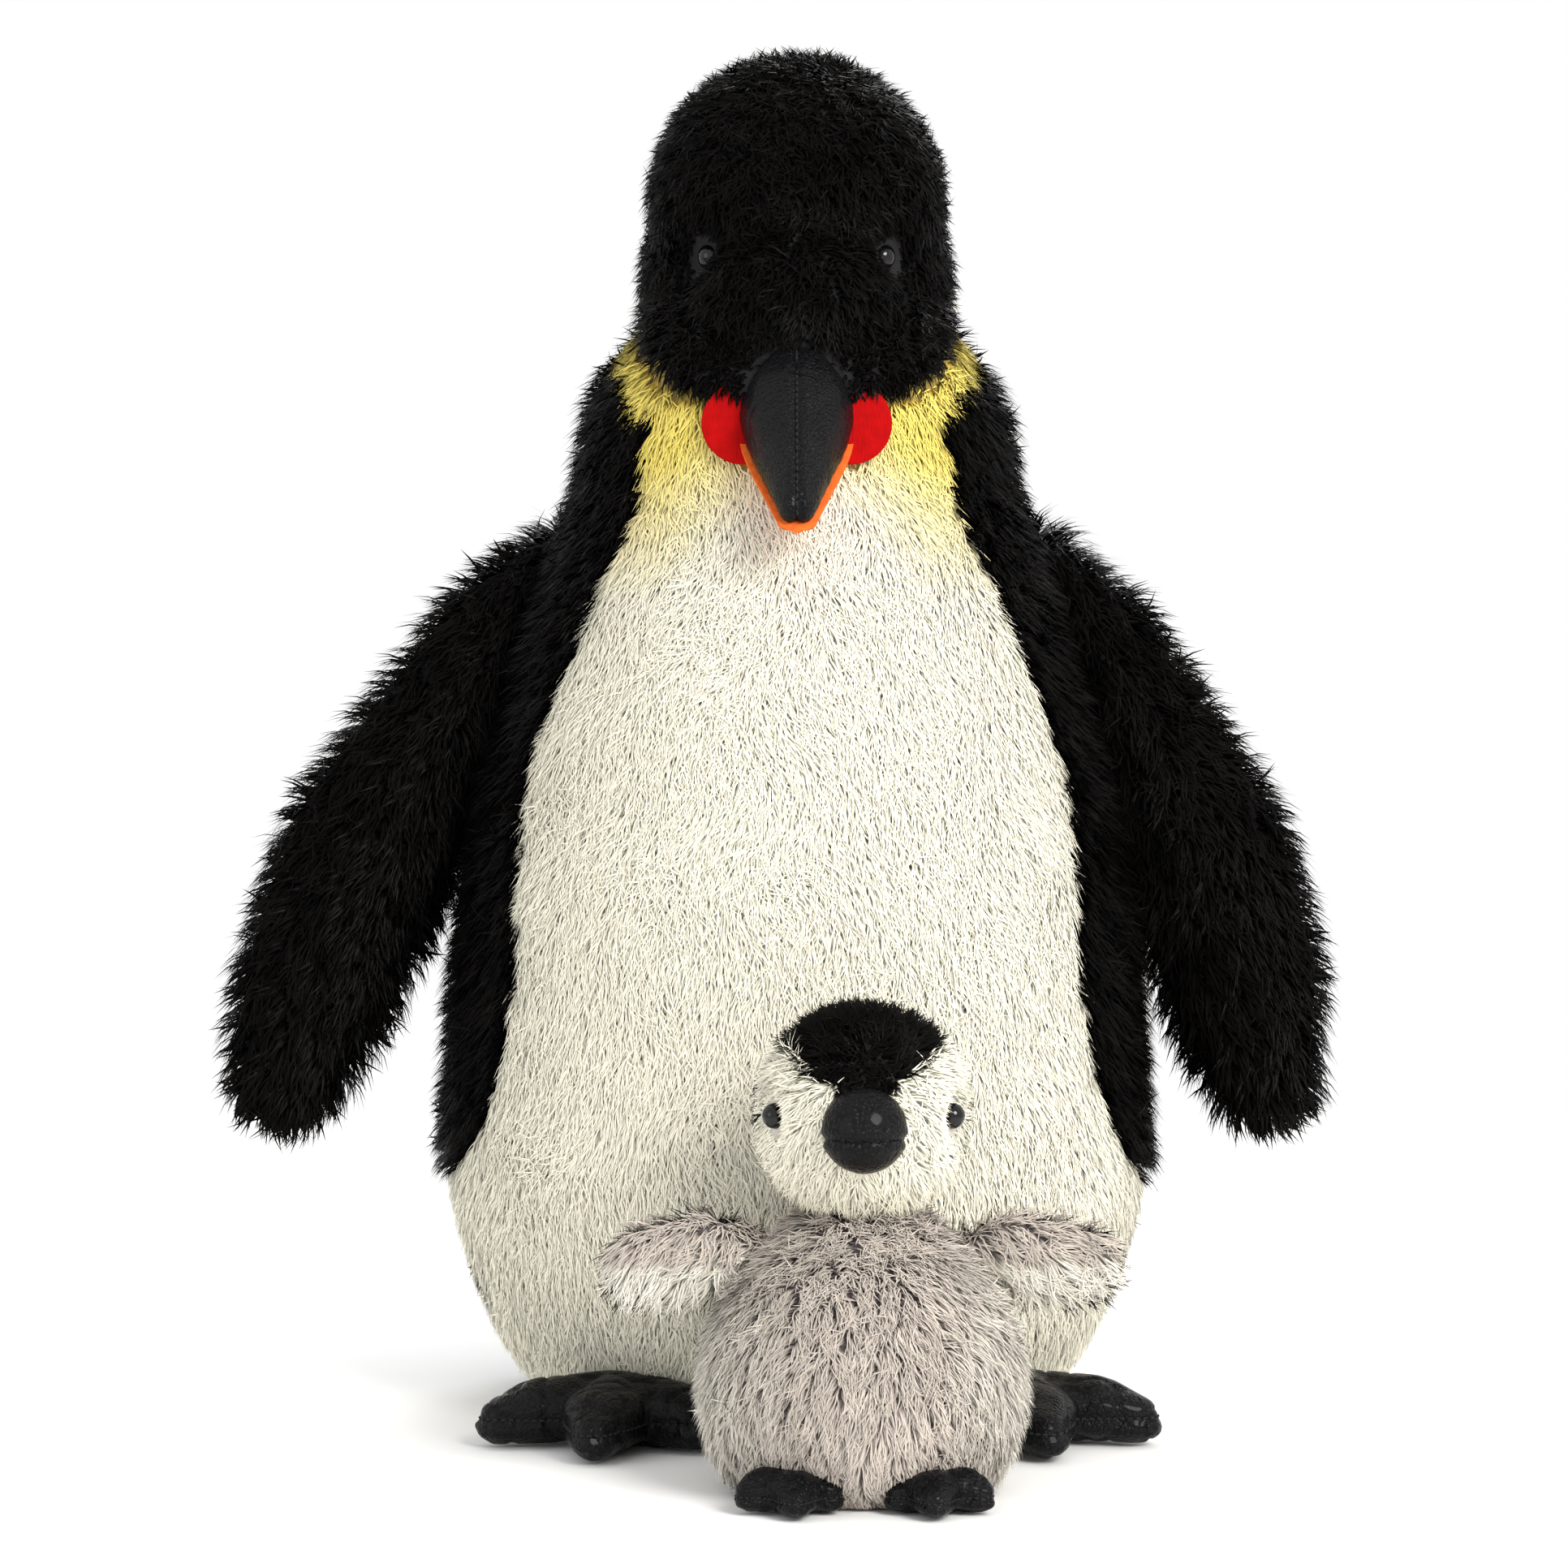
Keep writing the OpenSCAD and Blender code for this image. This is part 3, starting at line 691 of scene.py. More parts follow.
# %% One strand
def build_strand():
    """One metre long and wide, to be scaled: it rises, then bends over towards +X."""
    rows = [(0.0, 0.0, 0.0, 1.0), (0.35, 0.16, 0.38, 0.85), (0.7, 0.48, 0.74, 0.6)]
    verts = [(x, side * w / 2, z) for _, x, z, w in rows for side in (-1, 1)] + [(1.0, 0.0, 1.0)]
    faces = [(0, 1, 3, 2), (2, 3, 5, 4), (4, 5, 6)]
    mesh = bpy.data.meshes.new("strand")
    mesh.from_pydata(verts, [], faces)
    along = mesh.attributes.new("along", "FLOAT", "POINT")
    along.data.foreach_set("value", [t for t, *_ in rows for _ in (0, 1)] + [1.0])
    mesh.polygons.foreach_set("use_smooth", [True] * len(faces))
    return link("strand", mesh)


STRAND = build_strand()
print("strand:", len(STRAND.data.polygons), "faces")


# %% The pile tree
PILE_INPUTS = [
    ("Strand", "NodeSocketObject", None),
    ("Material", "NodeSocketMaterial", None),
    ("Density", "NodeSocketFloat", 300000.0),
    ("Length", "NodeSocketFloat", 0.014),
    ("Width", "NodeSocketFloat", 0.0015),
    ("Rise", "NodeSocketFloat", 0.75),
    ("Brushed", "NodeSocketVector", (0, 0, -1)),
    ("Lock Size", "NodeSocketFloat", 0.008),
    ("Gather", "NodeSocketFloat", 1.0),
    ("Waves", "NodeSocketFloat", 0.4),
    ("Stray", "NodeSocketFloat", 0.5),
    ("Lowest", "NodeSocketFloat", 0.0008),
    ("Seed", "NodeSocketInt", 1),
]


LOCK_SHARE = 0.55
SWAY_SCALE = 28.0
SWAY_REACH = 4.0


def stored(tree, geometry, name, kind, value):
    return node(
        tree, "GeometryNodeStoreNamedAttribute", {"data_type": kind, "domain": "POINT"},
        Geometry=geometry, Name=name, Value=value,
    ).outputs[0]


def read(tree, name, kind="FLOAT"):
    return node(tree, "GeometryNodeInputNamedAttribute", {"data_type": kind}, Name=name).outputs["Attribute"]


def vectors(tree, operation, a, b):
    label = "Scale" if operation == "SCALE" else "i1"
    return node(tree, "ShaderNodeVectorMath", {"operation": operation}, i0=a, **{label: b}).outputs[0]


def build_pile_tree():
    tree = bpy.data.node_groups.new("pile", "GeometryNodeTree")
    tree.interface.new_socket("Geometry", in_out="INPUT", socket_type="NodeSocketGeometry")
    for label, kind, default in PILE_INPUTS:
        socket = tree.interface.new_socket(label, in_out="INPUT", socket_type=kind)
        if default is not None:
            socket.default_value = default
    tree.interface.new_socket("Geometry", in_out="OUTPUT", socket_type="NodeSocketGeometry")
    given = tree.nodes.new("NodeGroupInput").outputs
    out = tree.nodes.new("NodeGroupOutput")

    scatter = node(
        tree, "GeometryNodeDistributePointsOnFaces", {"distribute_method": "RANDOM"},
        Mesh=given["Geometry"], Density=given["Density"], Seed=given["Seed"],
    )
    place = node(tree, "GeometryNodeInputPosition").outputs[0]
    cell_scale = maths(tree, "DIVIDE", 1.0, given["Lock Size"])
    lock = node(tree, "ShaderNodeTexVoronoi", Vector=place, Scale=cell_scale)
    lock_shade = node(tree, "FunctionNodeSeparateColor", Color=lock.outputs["Color"]).outputs[0]
    own = node(tree, "FunctionNodeRandomValue", {"data_type": "FLOAT"}, Seed=given["Seed"]).outputs[1]
    shade = maths(
        tree, "ADD",
        maths(tree, "MULTIPLY", lock_shade, LOCK_SHARE), maths(tree, "MULTIPLY", own, 1 - LOCK_SHARE),
    )

    to_middle = vectors(tree, "SUBTRACT", lock.outputs["Position"], place)
    gather = vectors(tree, "SCALE", to_middle, maths(tree, "MULTIPLY", cell_scale, given["Gather"]))
    random = node(
        tree, "FunctionNodeRandomValue", {"data_type": "FLOAT_VECTOR"},
        i0=(-1, -1, -1), i1=(1, 1, 1), Seed=7,
    ).outputs[0]
    slow = node(tree, "ShaderNodeTexNoise", Vector=place, Scale=SWAY_SCALE, Detail=1.0).outputs["Color"]
    sway = vectors(tree, "SCALE", vectors(tree, "SUBTRACT", slow, (0.5, 0.5, 0.5)), given["Waves"])
    lean = vectors(tree, "ADD", given["Brushed"], gather)
    lean = vectors(tree, "ADD", lean, vectors(tree, "SCALE", sway, SWAY_REACH))
    lean = vectors(tree, "ADD", lean, vectors(tree, "SCALE", random, given["Stray"]))

    normal = scatter.outputs["Normal"]
    points = stored(tree, scatter.outputs["Points"], "shade", "FLOAT", shade)
    points = stored(tree, points, "cloth_normal", "FLOAT_VECTOR", normal)
    upright = node(tree, "FunctionNodeAlignRotationToVector", {"axis": "Z"}, Vector=normal).outputs[0]
    turned = node(
        tree, "FunctionNodeAlignRotationToVector", {"axis": "X", "pivot_axis": "Z"},
        Rotation=upright, Vector=lean,
    ).outputs[0]
    vary = node(tree, "FunctionNodeRandomValue", {"data_type": "FLOAT"}, i2=0.7, i3=1.15, Seed=3).outputs[1]
    length = maths(tree, "MULTIPLY", maths(tree, "MULTIPLY", given["Length"], vary), read(tree, "pile"))
    rise_vary = node(
        tree, "FunctionNodeRandomValue", {"data_type": "FLOAT"}, i2=0.75, i3=1.25, Seed=5
    ).outputs[1]
    rise = maths(tree, "MULTIPLY", maths(tree, "MULTIPLY", given["Rise"], rise_vary), length)
    reach = maths(tree, "MULTIPLY", length, 0.75)
    size = node(tree, "ShaderNodeCombineXYZ", X=reach, Y=given["Width"], Z=rise).outputs[0]
    strand = node(tree, "GeometryNodeObjectInfo", Object=given["Strand"]).outputs["Geometry"]
    planted = node(
        tree, "GeometryNodeInstanceOnPoints", Points=points, Instance=strand, Rotation=turned, Scale=size
    ).outputs[0]

    real = node(tree, "GeometryNodeRealizeInstances", Geometry=planted).outputs[0]
    axes = node(tree, "ShaderNodeSeparateXYZ", Vector=node(tree, "GeometryNodeInputPosition").outputs[0])
    above = maths(tree, "MAXIMUM", axes.outputs[2], given["Lowest"])
    kept = node(tree, "ShaderNodeCombineXYZ", X=axes.outputs[0], Y=axes.outputs[1], Z=above).outputs[0]
    raised = node(tree, "GeometryNodeSetPosition", Geometry=real, Position=kept).outputs[0]
    dressed = node(tree, "GeometryNodeSetMaterial", Geometry=raised, Material=given["Material"]).outputs[0]
    tree.links.new(dressed, out.inputs[0])
    return tree


PILE = build_pile_tree()
print("pile tree:", len(PILE.nodes), "nodes")


# %% Plant pile on a patch
def set_vertex_values(mesh, name, rule):
    """Stores rule(point) on each vertex."""
    values = mesh.attributes.get(name) or mesh.attributes.new(name, "FLOAT", "POINT")
    values.data.foreach_set("value", [rule(v.co) for v in mesh.vertices])


def without_bare(mesh, bare):
    """A copy of the mesh without the faces near CAD nodes. bare is ((nodes, distance), ...)."""
    trees = [(surface_of(*nodes), distance) for nodes, distance in bare]

    def is_clear(face):
        centre = face.calc_center_median()
        return all(tree.find_nearest(centre, distance)[0] is None for tree, distance in trees)

    return kept_faces(mesh, is_clear, mesh.name)


def plant(patch, name, body, slot, material, seed, bare=(), **inputs):
    """Plants pile on an open patch, except where bare says, and attaches the strands to the body as one
    piece.
    """
    for attribute_name, default in (("pile", 1.0), ("dyed", 0.0)):
        if not patch.data.attributes.get(attribute_name):
            set_vertex_values(patch.data, attribute_name, lambda _, value=default: value)
    work = link(name + "_work", without_bare(patch.data, bare))
    values = {"Strand": STRAND, "Material": material, "Seed": seed, **inputs}
    piece = run_tree(work, PILE, values, name)
    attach(piece, body)
    print(f"{name}: {len(piece.data.polygons) // len(STRAND.data.polygons)} strands")


def dress(patches, body, plush_of, seed, bare, **inputs):
    """Plants pile on each patch but a base, and makes the cloth behind it. plush_of(panel) is in PLUSH."""
    for k, (panel, patch) in enumerate(patches.items()):
        slot, pile, cloth = PLUSH[plush_of(panel)]
        if "base" not in panel:
            plant(patch, panel + "_pile", body, slot, pile, seed + k, bare=bare, **inputs)
        cloth_piece(patch, panel + "_cloth", body, slot, cloth, panel)
        bpy.data.objects.remove(patch)


print("planting helpers ready")

# %% [markdown]
# ## The adult's body
# Six cloths make it: base, belly, back and collar, plus a flipper on each side, which have bags of
# their own. The body's bag is filled first. The white belly, black back and yellow collar then get
# pile of the same length. The belly's pile is dyed yellow at the neck, fading down the chest.

# %% Body bag and its panels
BODY_PANELS = ("belly_panel", "back_panel", "collar_panel", "base_panel")
body_bag = filled_bag(["body_stuffing"], "body_bag", 0.006, 0.005)
body_patches = cut_into_panels(body_bag, BODY_PANELS)
print({panel: len(patch.data.polygons) for panel, patch in body_patches.items()})


# %% Where the yellow dye went
collar_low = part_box("collar_panel")[0].z
CHEST_HALF = 0.055


def chest_dye(point):
    """Full at the neck, gone a few centimetres below it, and reaching lower at the sides than in front."""
    side = min(abs(point.x) / CHEST_HALF, 1.0)
    low = collar_low + 0.012 - 0.06 * side
    high = collar_low + 0.05 - 0.035 * side
    fade = (point.z - low) / (high - low)
    return min(max(fade, 0.0), 1.0)


for patch in body_patches.values():
    set_vertex_values(patch.data, "dyed", chest_dye)
print("yellow from", round(collar_low, 3), "up")


# %% Body pile
def sectors_of(patch, count, name):
    """Splits a patch into count sectors round the toy's axis, so that no piece of pile grows too large."""
    def sector_at(face):
        centre = face.calc_center_median()
        turn = (math.atan2(centre.x, -centre.y) / math.tau + 0.5) % 1.0
        return min(int(turn * count), count - 1)

    parts = []
    for k in range(count):
        mesh = kept_faces(patch.data, lambda face, k=k: sector_at(face) == k, f"{name}_{k + 1}")
        if mesh.polygons:
            parts.append(link(f"{name}_{k + 1}_patch", mesh))
    return parts


def plant_sectors(patch, count, name, body, slot, material, seed, **inputs):
    """Plants each sector of a patch with a seed of its own."""
    for k, part in enumerate(sectors_of(patch, count, name)):
        plant(part, f"{name}_{k + 1}", body, slot, material, seed + k, **inputs)
        bpy.data.objects.remove(part)


BODY_PILE = {
    "Density": 380000.0, "Length": 0.0155, "Width": 0.0014, "Rise": 0.68, "Lock Size": 0.011, "Stray": 0.5,
}
BELLY_PILE = {
    **BODY_PILE, "Density": 720000.0, "Width": 0.001, "Rise": 0.3, "Lock Size": 0.013, "Stray": 0.55,
    "Gather": 0.4,
}
UNDER_DISCS = (("cheek_disc_left", "cheek_disc_right"), 0.0042)
UNDER_HOOD = (("hood_panel",), 0.006)
plant_sectors(
    body_patches["belly_panel"], 9, "belly_pile", "adult", "white_plush", WHITE_PILE, 10,
    bare=[UNDER_DISCS, UNDER_HOOD], **BELLY_PILE,
)
plant_sectors(
    body_patches["back_panel"], 4, "back_pile", "adult", "black_plush", BLACK_PILE, 20,
    bare=[UNDER_HOOD], **BODY_PILE,
)
plant(
    body_patches["collar_panel"], "collar_pile", "adult", "yellow_plush", WHITE_PILE, 30,
    bare=[UNDER_DISCS, UNDER_HOOD], **BELLY_PILE,
)

# %% Body cloths
for panel, plush in zip(BODY_PANELS, ("white", "black", "yellow", "white")):
    slot, _, cloth = PLUSH[plush]
    cloth_piece(body_patches[panel], panel.replace("panel", "cloth"), "adult", slot, cloth, panel)
    bpy.data.objects.remove(body_patches[panel])
print("body cloths made")

# %% [markdown]
# ## The adult's head
# The hood is one black bag with a small pale patch let into each side. Its pile is combed back from
# the beak, and it is clipped short round the eyes so that they show. Under the hood, where the head
# sits on the neck, there is no pile.

# %% Head bag
def distance_rule(nodes, near, far_off, least):
    """Pile length that falls from 1 to least as a point comes within reach of the CAD nodes."""
    tree = surface_of(*nodes)

    def rule(point):
        gap = tree.find_nearest(point)[3]
        return least + (1 - least) * min(max((gap - near) / (far_off - near), 0.0), 1.0)

    return rule


HEAD_PANELS = ("hood_panel", "cheek_patch_left", "cheek_patch_right")
head_bag = filled_bag(["head_stuffing", *HEAD_PANELS], "head_bag", 0.004, 0.001)
clipped = distance_rule(("eye_left", "eye_right"), 0.004, 0.017, 0.2)
short_at_beak = distance_rule(("beak_upper_left", "beak_upper_right"), 0.002, 0.03, 0.45)
set_vertex_values(head_bag.data, "pile", lambda point: min(clipped(point), short_at_beak(point)))
cheek_low, cheek_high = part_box("cheek_patch_left")


def cheek_dye(point):
    """Cream at the top of the patch, and yellow at its foot."""
    return min(max((cheek_high.z - point.z) / (cheek_high.z - cheek_low.z), 0.0), 1.0)


set_vertex_values(head_bag.data, "dyed", cheek_dye)
head_patches = cut_into_panels(head_bag, HEAD_PANELS)
print({panel: len(patch.data.polygons) for panel, patch in head_patches.items()})

# %% Head pile and cloths
HEAD_PILE = {
    "Density": 520000.0, "Length": 0.0135, "Width": 0.0013, "Rise": 0.5, "Lock Size": 0.009, "Stray": 0.65,
}
HEAD_BARE = [
    (("eye_left", "eye_right"), 0.004),
    (("beak_upper_left", "beak_upper_right"), 0.001),
    (("collar_panel",), 0.003),
]
plant(
    head_patches["hood_panel"], "hood_pile", "adult_head", "black_plush", BLACK_PILE, 40,
    bare=HEAD_BARE, Brushed=(0, 0.3, -0.8), **HEAD_PILE,
)
for side in ("left", "right"):
    plant(
        head_patches["cheek_patch_" + side], "cheek_pile_" + side, "adult_head", "white_plush", WHITE_PILE,
        41, bare=HEAD_BARE, **HEAD_PILE,
    )
for panel, patch in head_patches.items():
    slot, _, cloth = PLUSH["black" if panel == "hood_panel" else "white"]
    cloth_piece(patch, panel + "_cloth", "adult_head", slot, cloth, panel)
    bpy.data.objects.remove(patch)
print("head cloths made")

# %% [markdown]
# ## Flippers
# Each flipper is a flat bag of its own, two panels sewn round their edge, so it is fullest along the
# middle. Its pile runs down to the tip.

# %% Flippers
FLIPPER_PILE = {**BODY_PILE, "Density": 360000.0}
for side, lean in (("left", -0.35), ("right", 0.35)):
    bag = filled_bag([f"flipper_{side}_stuffing"], f"flipper_{side}_bag", 0.005, 0.004)
    panels = (f"flipper_{side}_front", f"flipper_{side}_back")
    dress(
        cut_into_panels(bag, panels), "flipper_" + side, lambda panel: "black", 50,
        bare=[(("body_stuffing",), 0.006)], Brushed=(lean, 0, -1), **FLIPPER_PILE,
    )

# %% [markdown]
# ## The chick
# The chick is made the same way at a third of the size, with a shorter pile. Its body is grey, its
# face white with a black cap, and its wings are grey above and cream below.

# %% Chick body
CHICK_PILE = {
    "Density": 1000000.0, "Length": 0.0125, "Width": 0.0009, "Rise": 0.46, "Lock Size": 0.008, "Stray": 0.45,
}
CHICK_HEAD_PANELS = ("chick_face_left", "chick_face_right", "chick_cap")
CHICK_BODY_PANELS = ("chick_body_left", "chick_body_right", "chick_base_panel")
chick_bag = filled_bag(["chick_stuffing"], "chick_bag", 0.004, 0.003)
CHICK_FEET = [f"chick_foot_{side}_{part}" for side in ("left", "right") for part in ("upper", "sole")]
set_vertex_values(chick_bag.data, "pile", distance_rule(CHICK_FEET, 0.004, 0.022, 0.35))
chick_low, chick_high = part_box("chick_stuffing")
chick_middle = (chick_low + chick_high) / 2


def paler_at_the_sides(point):
    """The share of the paler dye: none on the front, and the most at the sides."""
    most, starts, fades_over = 0.7, 0.45, 0.5
    out = abs(point.x - chick_middle.x) / (chick_high.x - chick_middle.x)
    return most * min(max((out - starts) / fades_over, 0.0), 1.0)


set_vertex_values(chick_bag.data, "dyed", paler_at_the_sides)
dress(
    cut_into_panels(chick_bag, CHICK_BODY_PANELS), "chick", lambda panel: "grey", 60,
    bare=[(CHICK_HEAD_PANELS, 0.002)], **CHICK_PILE,
)

# %% Chick head
chick_head_bag = filled_bag(["chick_head_stuffing"], "chick_head_bag", 0.003, 0.003)
near_chick_eye = distance_rule(("chick_eye_left", "chick_eye_right"), 0.003, 0.013, 0.2)
near_chick_beak = distance_rule(("chick_beak_upper", "chick_beak_lower"), 0.001, 0.012, 0.45)
set_vertex_values(
    chick_head_bag.data, "pile", lambda point: min(near_chick_eye(point), near_chick_beak(point))
)
CHICK_BARE = [
    (("chick_eye_left", "chick_eye_right"), 0.003),
    (("chick_beak_upper", "chick_beak_lower"), 0.0006),
    (("chick_body_left", "chick_body_right"), 0.002),
]
dress(
    cut_into_panels(chick_head_bag, CHICK_HEAD_PANELS), "chick_head",
    lambda panel: "black" if panel == "chick_cap" else "white", 70,
    bare=CHICK_BARE, Brushed=(0, 0.7, -0.7), **CHICK_PILE,
)

# %% Chick wings
for side, out_x in (("left", -1), ("right", 1)):
    bag = filled_bag([f"chick_wing_{side}_stuffing"], f"chick_wing_{side}_bag", 0.003, 0.0025)
    panels = (f"chick_wing_{side}_top", f"chick_wing_{side}_under")
    patches = cut_into_panels(bag, panels)
    for panel, patch in patches.items():
        # The undersides take the paler dye, whose colour is darkened with painted shade.
        set_vertex_values(patch.data, "dyed", lambda _, value=float(panel.endswith("under")): value)
    dress(
        patches, "chick_wing_" + side, lambda panel: "cream" if panel.endswith("under") else "grey", 80,
        bare=[(("chick_stuffing",), 0.004)], Brushed=(0.6 * out_x, 0, -0.8), **CHICK_PILE,
    )

# %% [markdown]
# ## Stitches
# Leather seams are held by short thread stitches, all the same and evenly spaced. Geometry Nodes lay
# them: the seam's line becomes a curve, the curve is cut into equal steps, and each step gets one
# stitch turned along it.

# %% One stitch
def build_stitch():
    """A six-sided grain of thread, one unit long, with pointed ends."""
    sides = 6
    radius = 0.22
    verts = [
        (x, radius * math.cos(math.tau * k / sides), radius * math.sin(math.tau * k / sides))
        for x in (-0.3, 0.3) for k in range(sides)
    ] + [(-0.5, 0, 0), (0.5, 0, 0)]
    faces = []
    for k in range(sides):
        after = (k + 1) % sides
        faces.append((k, after, sides + after, sides + k))
        faces.append((2 * sides, after, k))
        faces.append((2 * sides + 1, sides + k, sides + after))
    mesh = bpy.data.meshes.new("stitch")
    mesh.from_pydata(verts, [], faces)
    turn_faces_out(mesh)
    mesh.polygons.foreach_set("use_smooth", [True] * len(faces))
    return link("stitch", mesh)


STITCH = build_stitch()
print("stitch:", len(STITCH.data.polygons), "faces")


# %% The stitch tree
def build_stitch_tree():
    tree = bpy.data.node_groups.new("stitches", "GeometryNodeTree")
    tree.interface.new_socket("Geometry", in_out="INPUT", socket_type="NodeSocketGeometry")
    for label, kind in (
        ("Stitch", "NodeSocketObject"), ("Material", "NodeSocketMaterial"),
        ("Spacing", "NodeSocketFloat"), ("Length", "NodeSocketFloat"),
    ):
        tree.interface.new_socket(label, in_out="INPUT", socket_type=kind)
    tree.interface.new_socket("Geometry", in_out="OUTPUT", socket_type="NodeSocketGeometry")
    given = tree.nodes.new("NodeGroupInput").outputs
    out = tree.nodes.new("NodeGroupOutput")
    line = node(tree, "GeometryNodeMeshToCurve", Mesh=given["Geometry"]).outputs[0]
    steps = node(tree, "GeometryNodeResampleCurve", {"mode": "LENGTH"}, Curve=line, Length=given["Spacing"])
    along = node(tree, "GeometryNodeInputTangent").outputs[0]
    turned = node(tree, "FunctionNodeAlignRotationToVector", {"axis": "X"}, Vector=along).outputs[0]
    stitch = node(tree, "GeometryNodeObjectInfo", Object=given["Stitch"]).outputs["Geometry"]
    laid = node(
        tree, "GeometryNodeInstanceOnPoints",
        Points=steps.outputs[0], Instance=stitch, Rotation=turned, Scale=given["Length"],
    ).outputs[0]
    real = node(tree, "GeometryNodeRealizeInstances", Geometry=laid).outputs[0]
    dressed = node(tree, "GeometryNodeSetMaterial", Geometry=real, Material=given["Material"]).outputs[0]
    tree.links.new(dressed, out.inputs[0])
    return tree


STITCHES = build_stitch_tree()
print("stitch tree:", len(STITCHES.nodes), "nodes")


# %% Sew along a line
def sew(points, closed, name, body, spacing, length):
    """Lays stitches along a line of points and attaches them to the body as one piece."""
    edges = [(k, k + 1) for k in range(len(points) - 1)]
    if closed:
        edges.append((len(points) - 1, 0))
    mesh = bpy.data.meshes.new(name + "_line")
    mesh.from_pydata(points, edges, [])
    work = link(name + "_work", mesh)
    values = {"Stitch": STITCH, "Material": THREAD, "Spacing": spacing, "Length": length}
    piece = run_tree(work, STITCHES, values, name)
    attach(piece, body)
    print(f"{name}: {len(piece.data.polygons) // len(STITCH.data.polygons)} stitches")


# %% [markdown]
# ## Leather feet
# A foot is an upper and a sole, sewn edge to edge and stuffed hard. The filled bag is pulled in along
# the seam, where the thread holds the leather, and cut there into the two pieces.

# %% Leather helpers
def boundary_loops(mesh):
    """The open edges of a mesh as loops of points in order, the longest loop last."""
    work = bmesh.new()
    work.from_mesh(mesh)
    left = {e for e in work.edges if e.is_boundary}
    loops = []
    while left:
        edge = min(left, key=lambda e: e.index)
        left.discard(edge)
        loop = [edge.verts[0], edge.verts[1]]
        while True:
            step = next((e for e in loop[-1].link_edges if e in left), None)
            if step is None:
                break
            left.discard(step)
            loop.append(step.other_vert(loop[-1]))
        loops.append([v.co.copy() for v in loop[:-1]])
    work.free()
    loops.sort(key=len)
    return loops


def pull_seam(mesh, distance_of, depth, width):
    """Draws a mesh in along the line where distance_of(point) is 0, with a soft swell on each side."""
    normals = [v.normal.copy() for v in mesh.vertices]
    for vert, normal in zip(mesh.vertices, normals):
        off = abs(distance_of(vert.co)) / width
        vert.co -= normal * depth * (math.exp(-off * off) - 0.4 * math.exp(-((off - 2.2) ** 2)))


def crease(mesh, size, depth):
    """Pushes fine valleys into a mesh along the lines where a slow noise passes through zero."""
    normals = [v.normal.copy() for v in mesh.vertices]
    for vert, normal in zip(mesh.vertices, normals):
        valley = 1 - min(abs(noise.noise(vert.co / size)) * 4, 1.0)
        vert.co -= normal * depth * valley * valley


def cut_at(mesh, place, normal, keep_above):
    """The part of a closed mesh on one side of a plane, left open at the cut."""
    work = bmesh.new()
    work.from_mesh(mesh)
    bmesh.ops.bisect_plane(
        work, geom=list(work.verts) + list(work.edges) + list(work.faces), plane_co=place, plane_no=normal,
        clear_inner=keep_above, clear_outer=not keep_above,
    )
    part = bpy.data.meshes.new(mesh.name)
    work.to_mesh(part)
    work.free()
    return part


def leather_pair(bag, place, normal, pieces, body, stuffing, thick=0.001):
    """Cuts a bag in two at a plane. pieces is ((piece, CAD node, whether it is above the plane), ...)."""
    for name, node_name, above in pieces:
        patch = link(name + "_patch", cut_at(bag.data, place, normal, above))
        cloth_piece(
            patch, name, body, "black_leatherette", LEATHER, node_name, stuffing, thick=thick, fill=0.9
        )
        bpy.data.objects.remove(patch)
    bpy.data.objects.remove(bag)


print("leather helpers ready")

# %% Feet
FLOOR_GAP = 0.0002
UP = (0, 0, 1)


def leather_foot(prefix, body, voxel, seam_depth, spacing):
    """The filled bag sewn round its edge, and never below the floor."""
    bag = filled_bag([prefix + "_stuffing"], prefix + "_bag", voxel, 0.0022, soften=4, finer=1)
    seam_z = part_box(prefix + "_sole")[1].z
    pull_seam(bag.data, lambda point: point.z - seam_z, seam_depth, 2.2 * seam_depth)
    crease(bag.data, 4.5 * voxel, seam_depth)
    for vert in bag.data.vertices:
        vert.co.z = max(vert.co.z, FLOOR_GAP)
    seam_at = (0, 0, seam_z)
    line = boundary_loops(cut_at(bag.data, seam_at, UP, True))[-1]
    sew(line, True, prefix + "_stitches", body, spacing, 0.75 * spacing)
    pieces = [
        (f"{prefix}_{part}_leather", f"{prefix}_{part}", above)
        for part, above in (("upper", True), ("sole", False))
    ]
    leather_pair(bag, seam_at, UP, pieces, body, prefix + "_stuffing")


for side in ("left", "right"):
    leather_foot("foot_" + side, "adult", 0.0034, 0.0013, 0.0034)
    leather_foot("chick_foot_" + side, "chick", 0.0022, 0.0007, 0.0024)

# %% [markdown]
# ## The adult's beak
# Two leather panels meet in a seam along the top of the beak and curve down to its round tip. Under
# them lies the lower half, a flat tongue of orange felt whose edge shows all round. The panels are
# made as the feet are: one filled bag, drawn in along the seam, and cut there.

# %% Beak panels
BEAK_BASE = Vector((0, -0.078, 0.45))
BEAK_DROP = math.radians(39)
beak_out = Vector((0, -math.cos(BEAK_DROP), -math.sin(BEAK_DROP)))
beak_up = Vector((0, -math.sin(BEAK_DROP), math.cos(BEAK_DROP)))
beak_bag = filled_bag(["beak_stuffing"], "beak_bag", 0.0025, 0.002, soften=3, finer=1)
pull_seam(beak_bag.data, lambda point: point.x, 0.0011, 0.0016)
crease(beak_bag.data, 0.016, 0.0004)
MIDDLE = (0, 0, 0)
TO_THE_RIGHT = (1, 0, 0)
ridge = boundary_loops(cut_at(beak_bag.data, MIDDLE, TO_THE_RIGHT, True))[-1]
ridge = [p for p in ridge if (p - BEAK_BASE).dot(beak_up) > 0.002]
ridge.sort(key=lambda p: (p - BEAK_BASE).dot(beak_out))
sew(ridge, False, "beak_stitches", "adult_head", 0.0036, 0.0026)
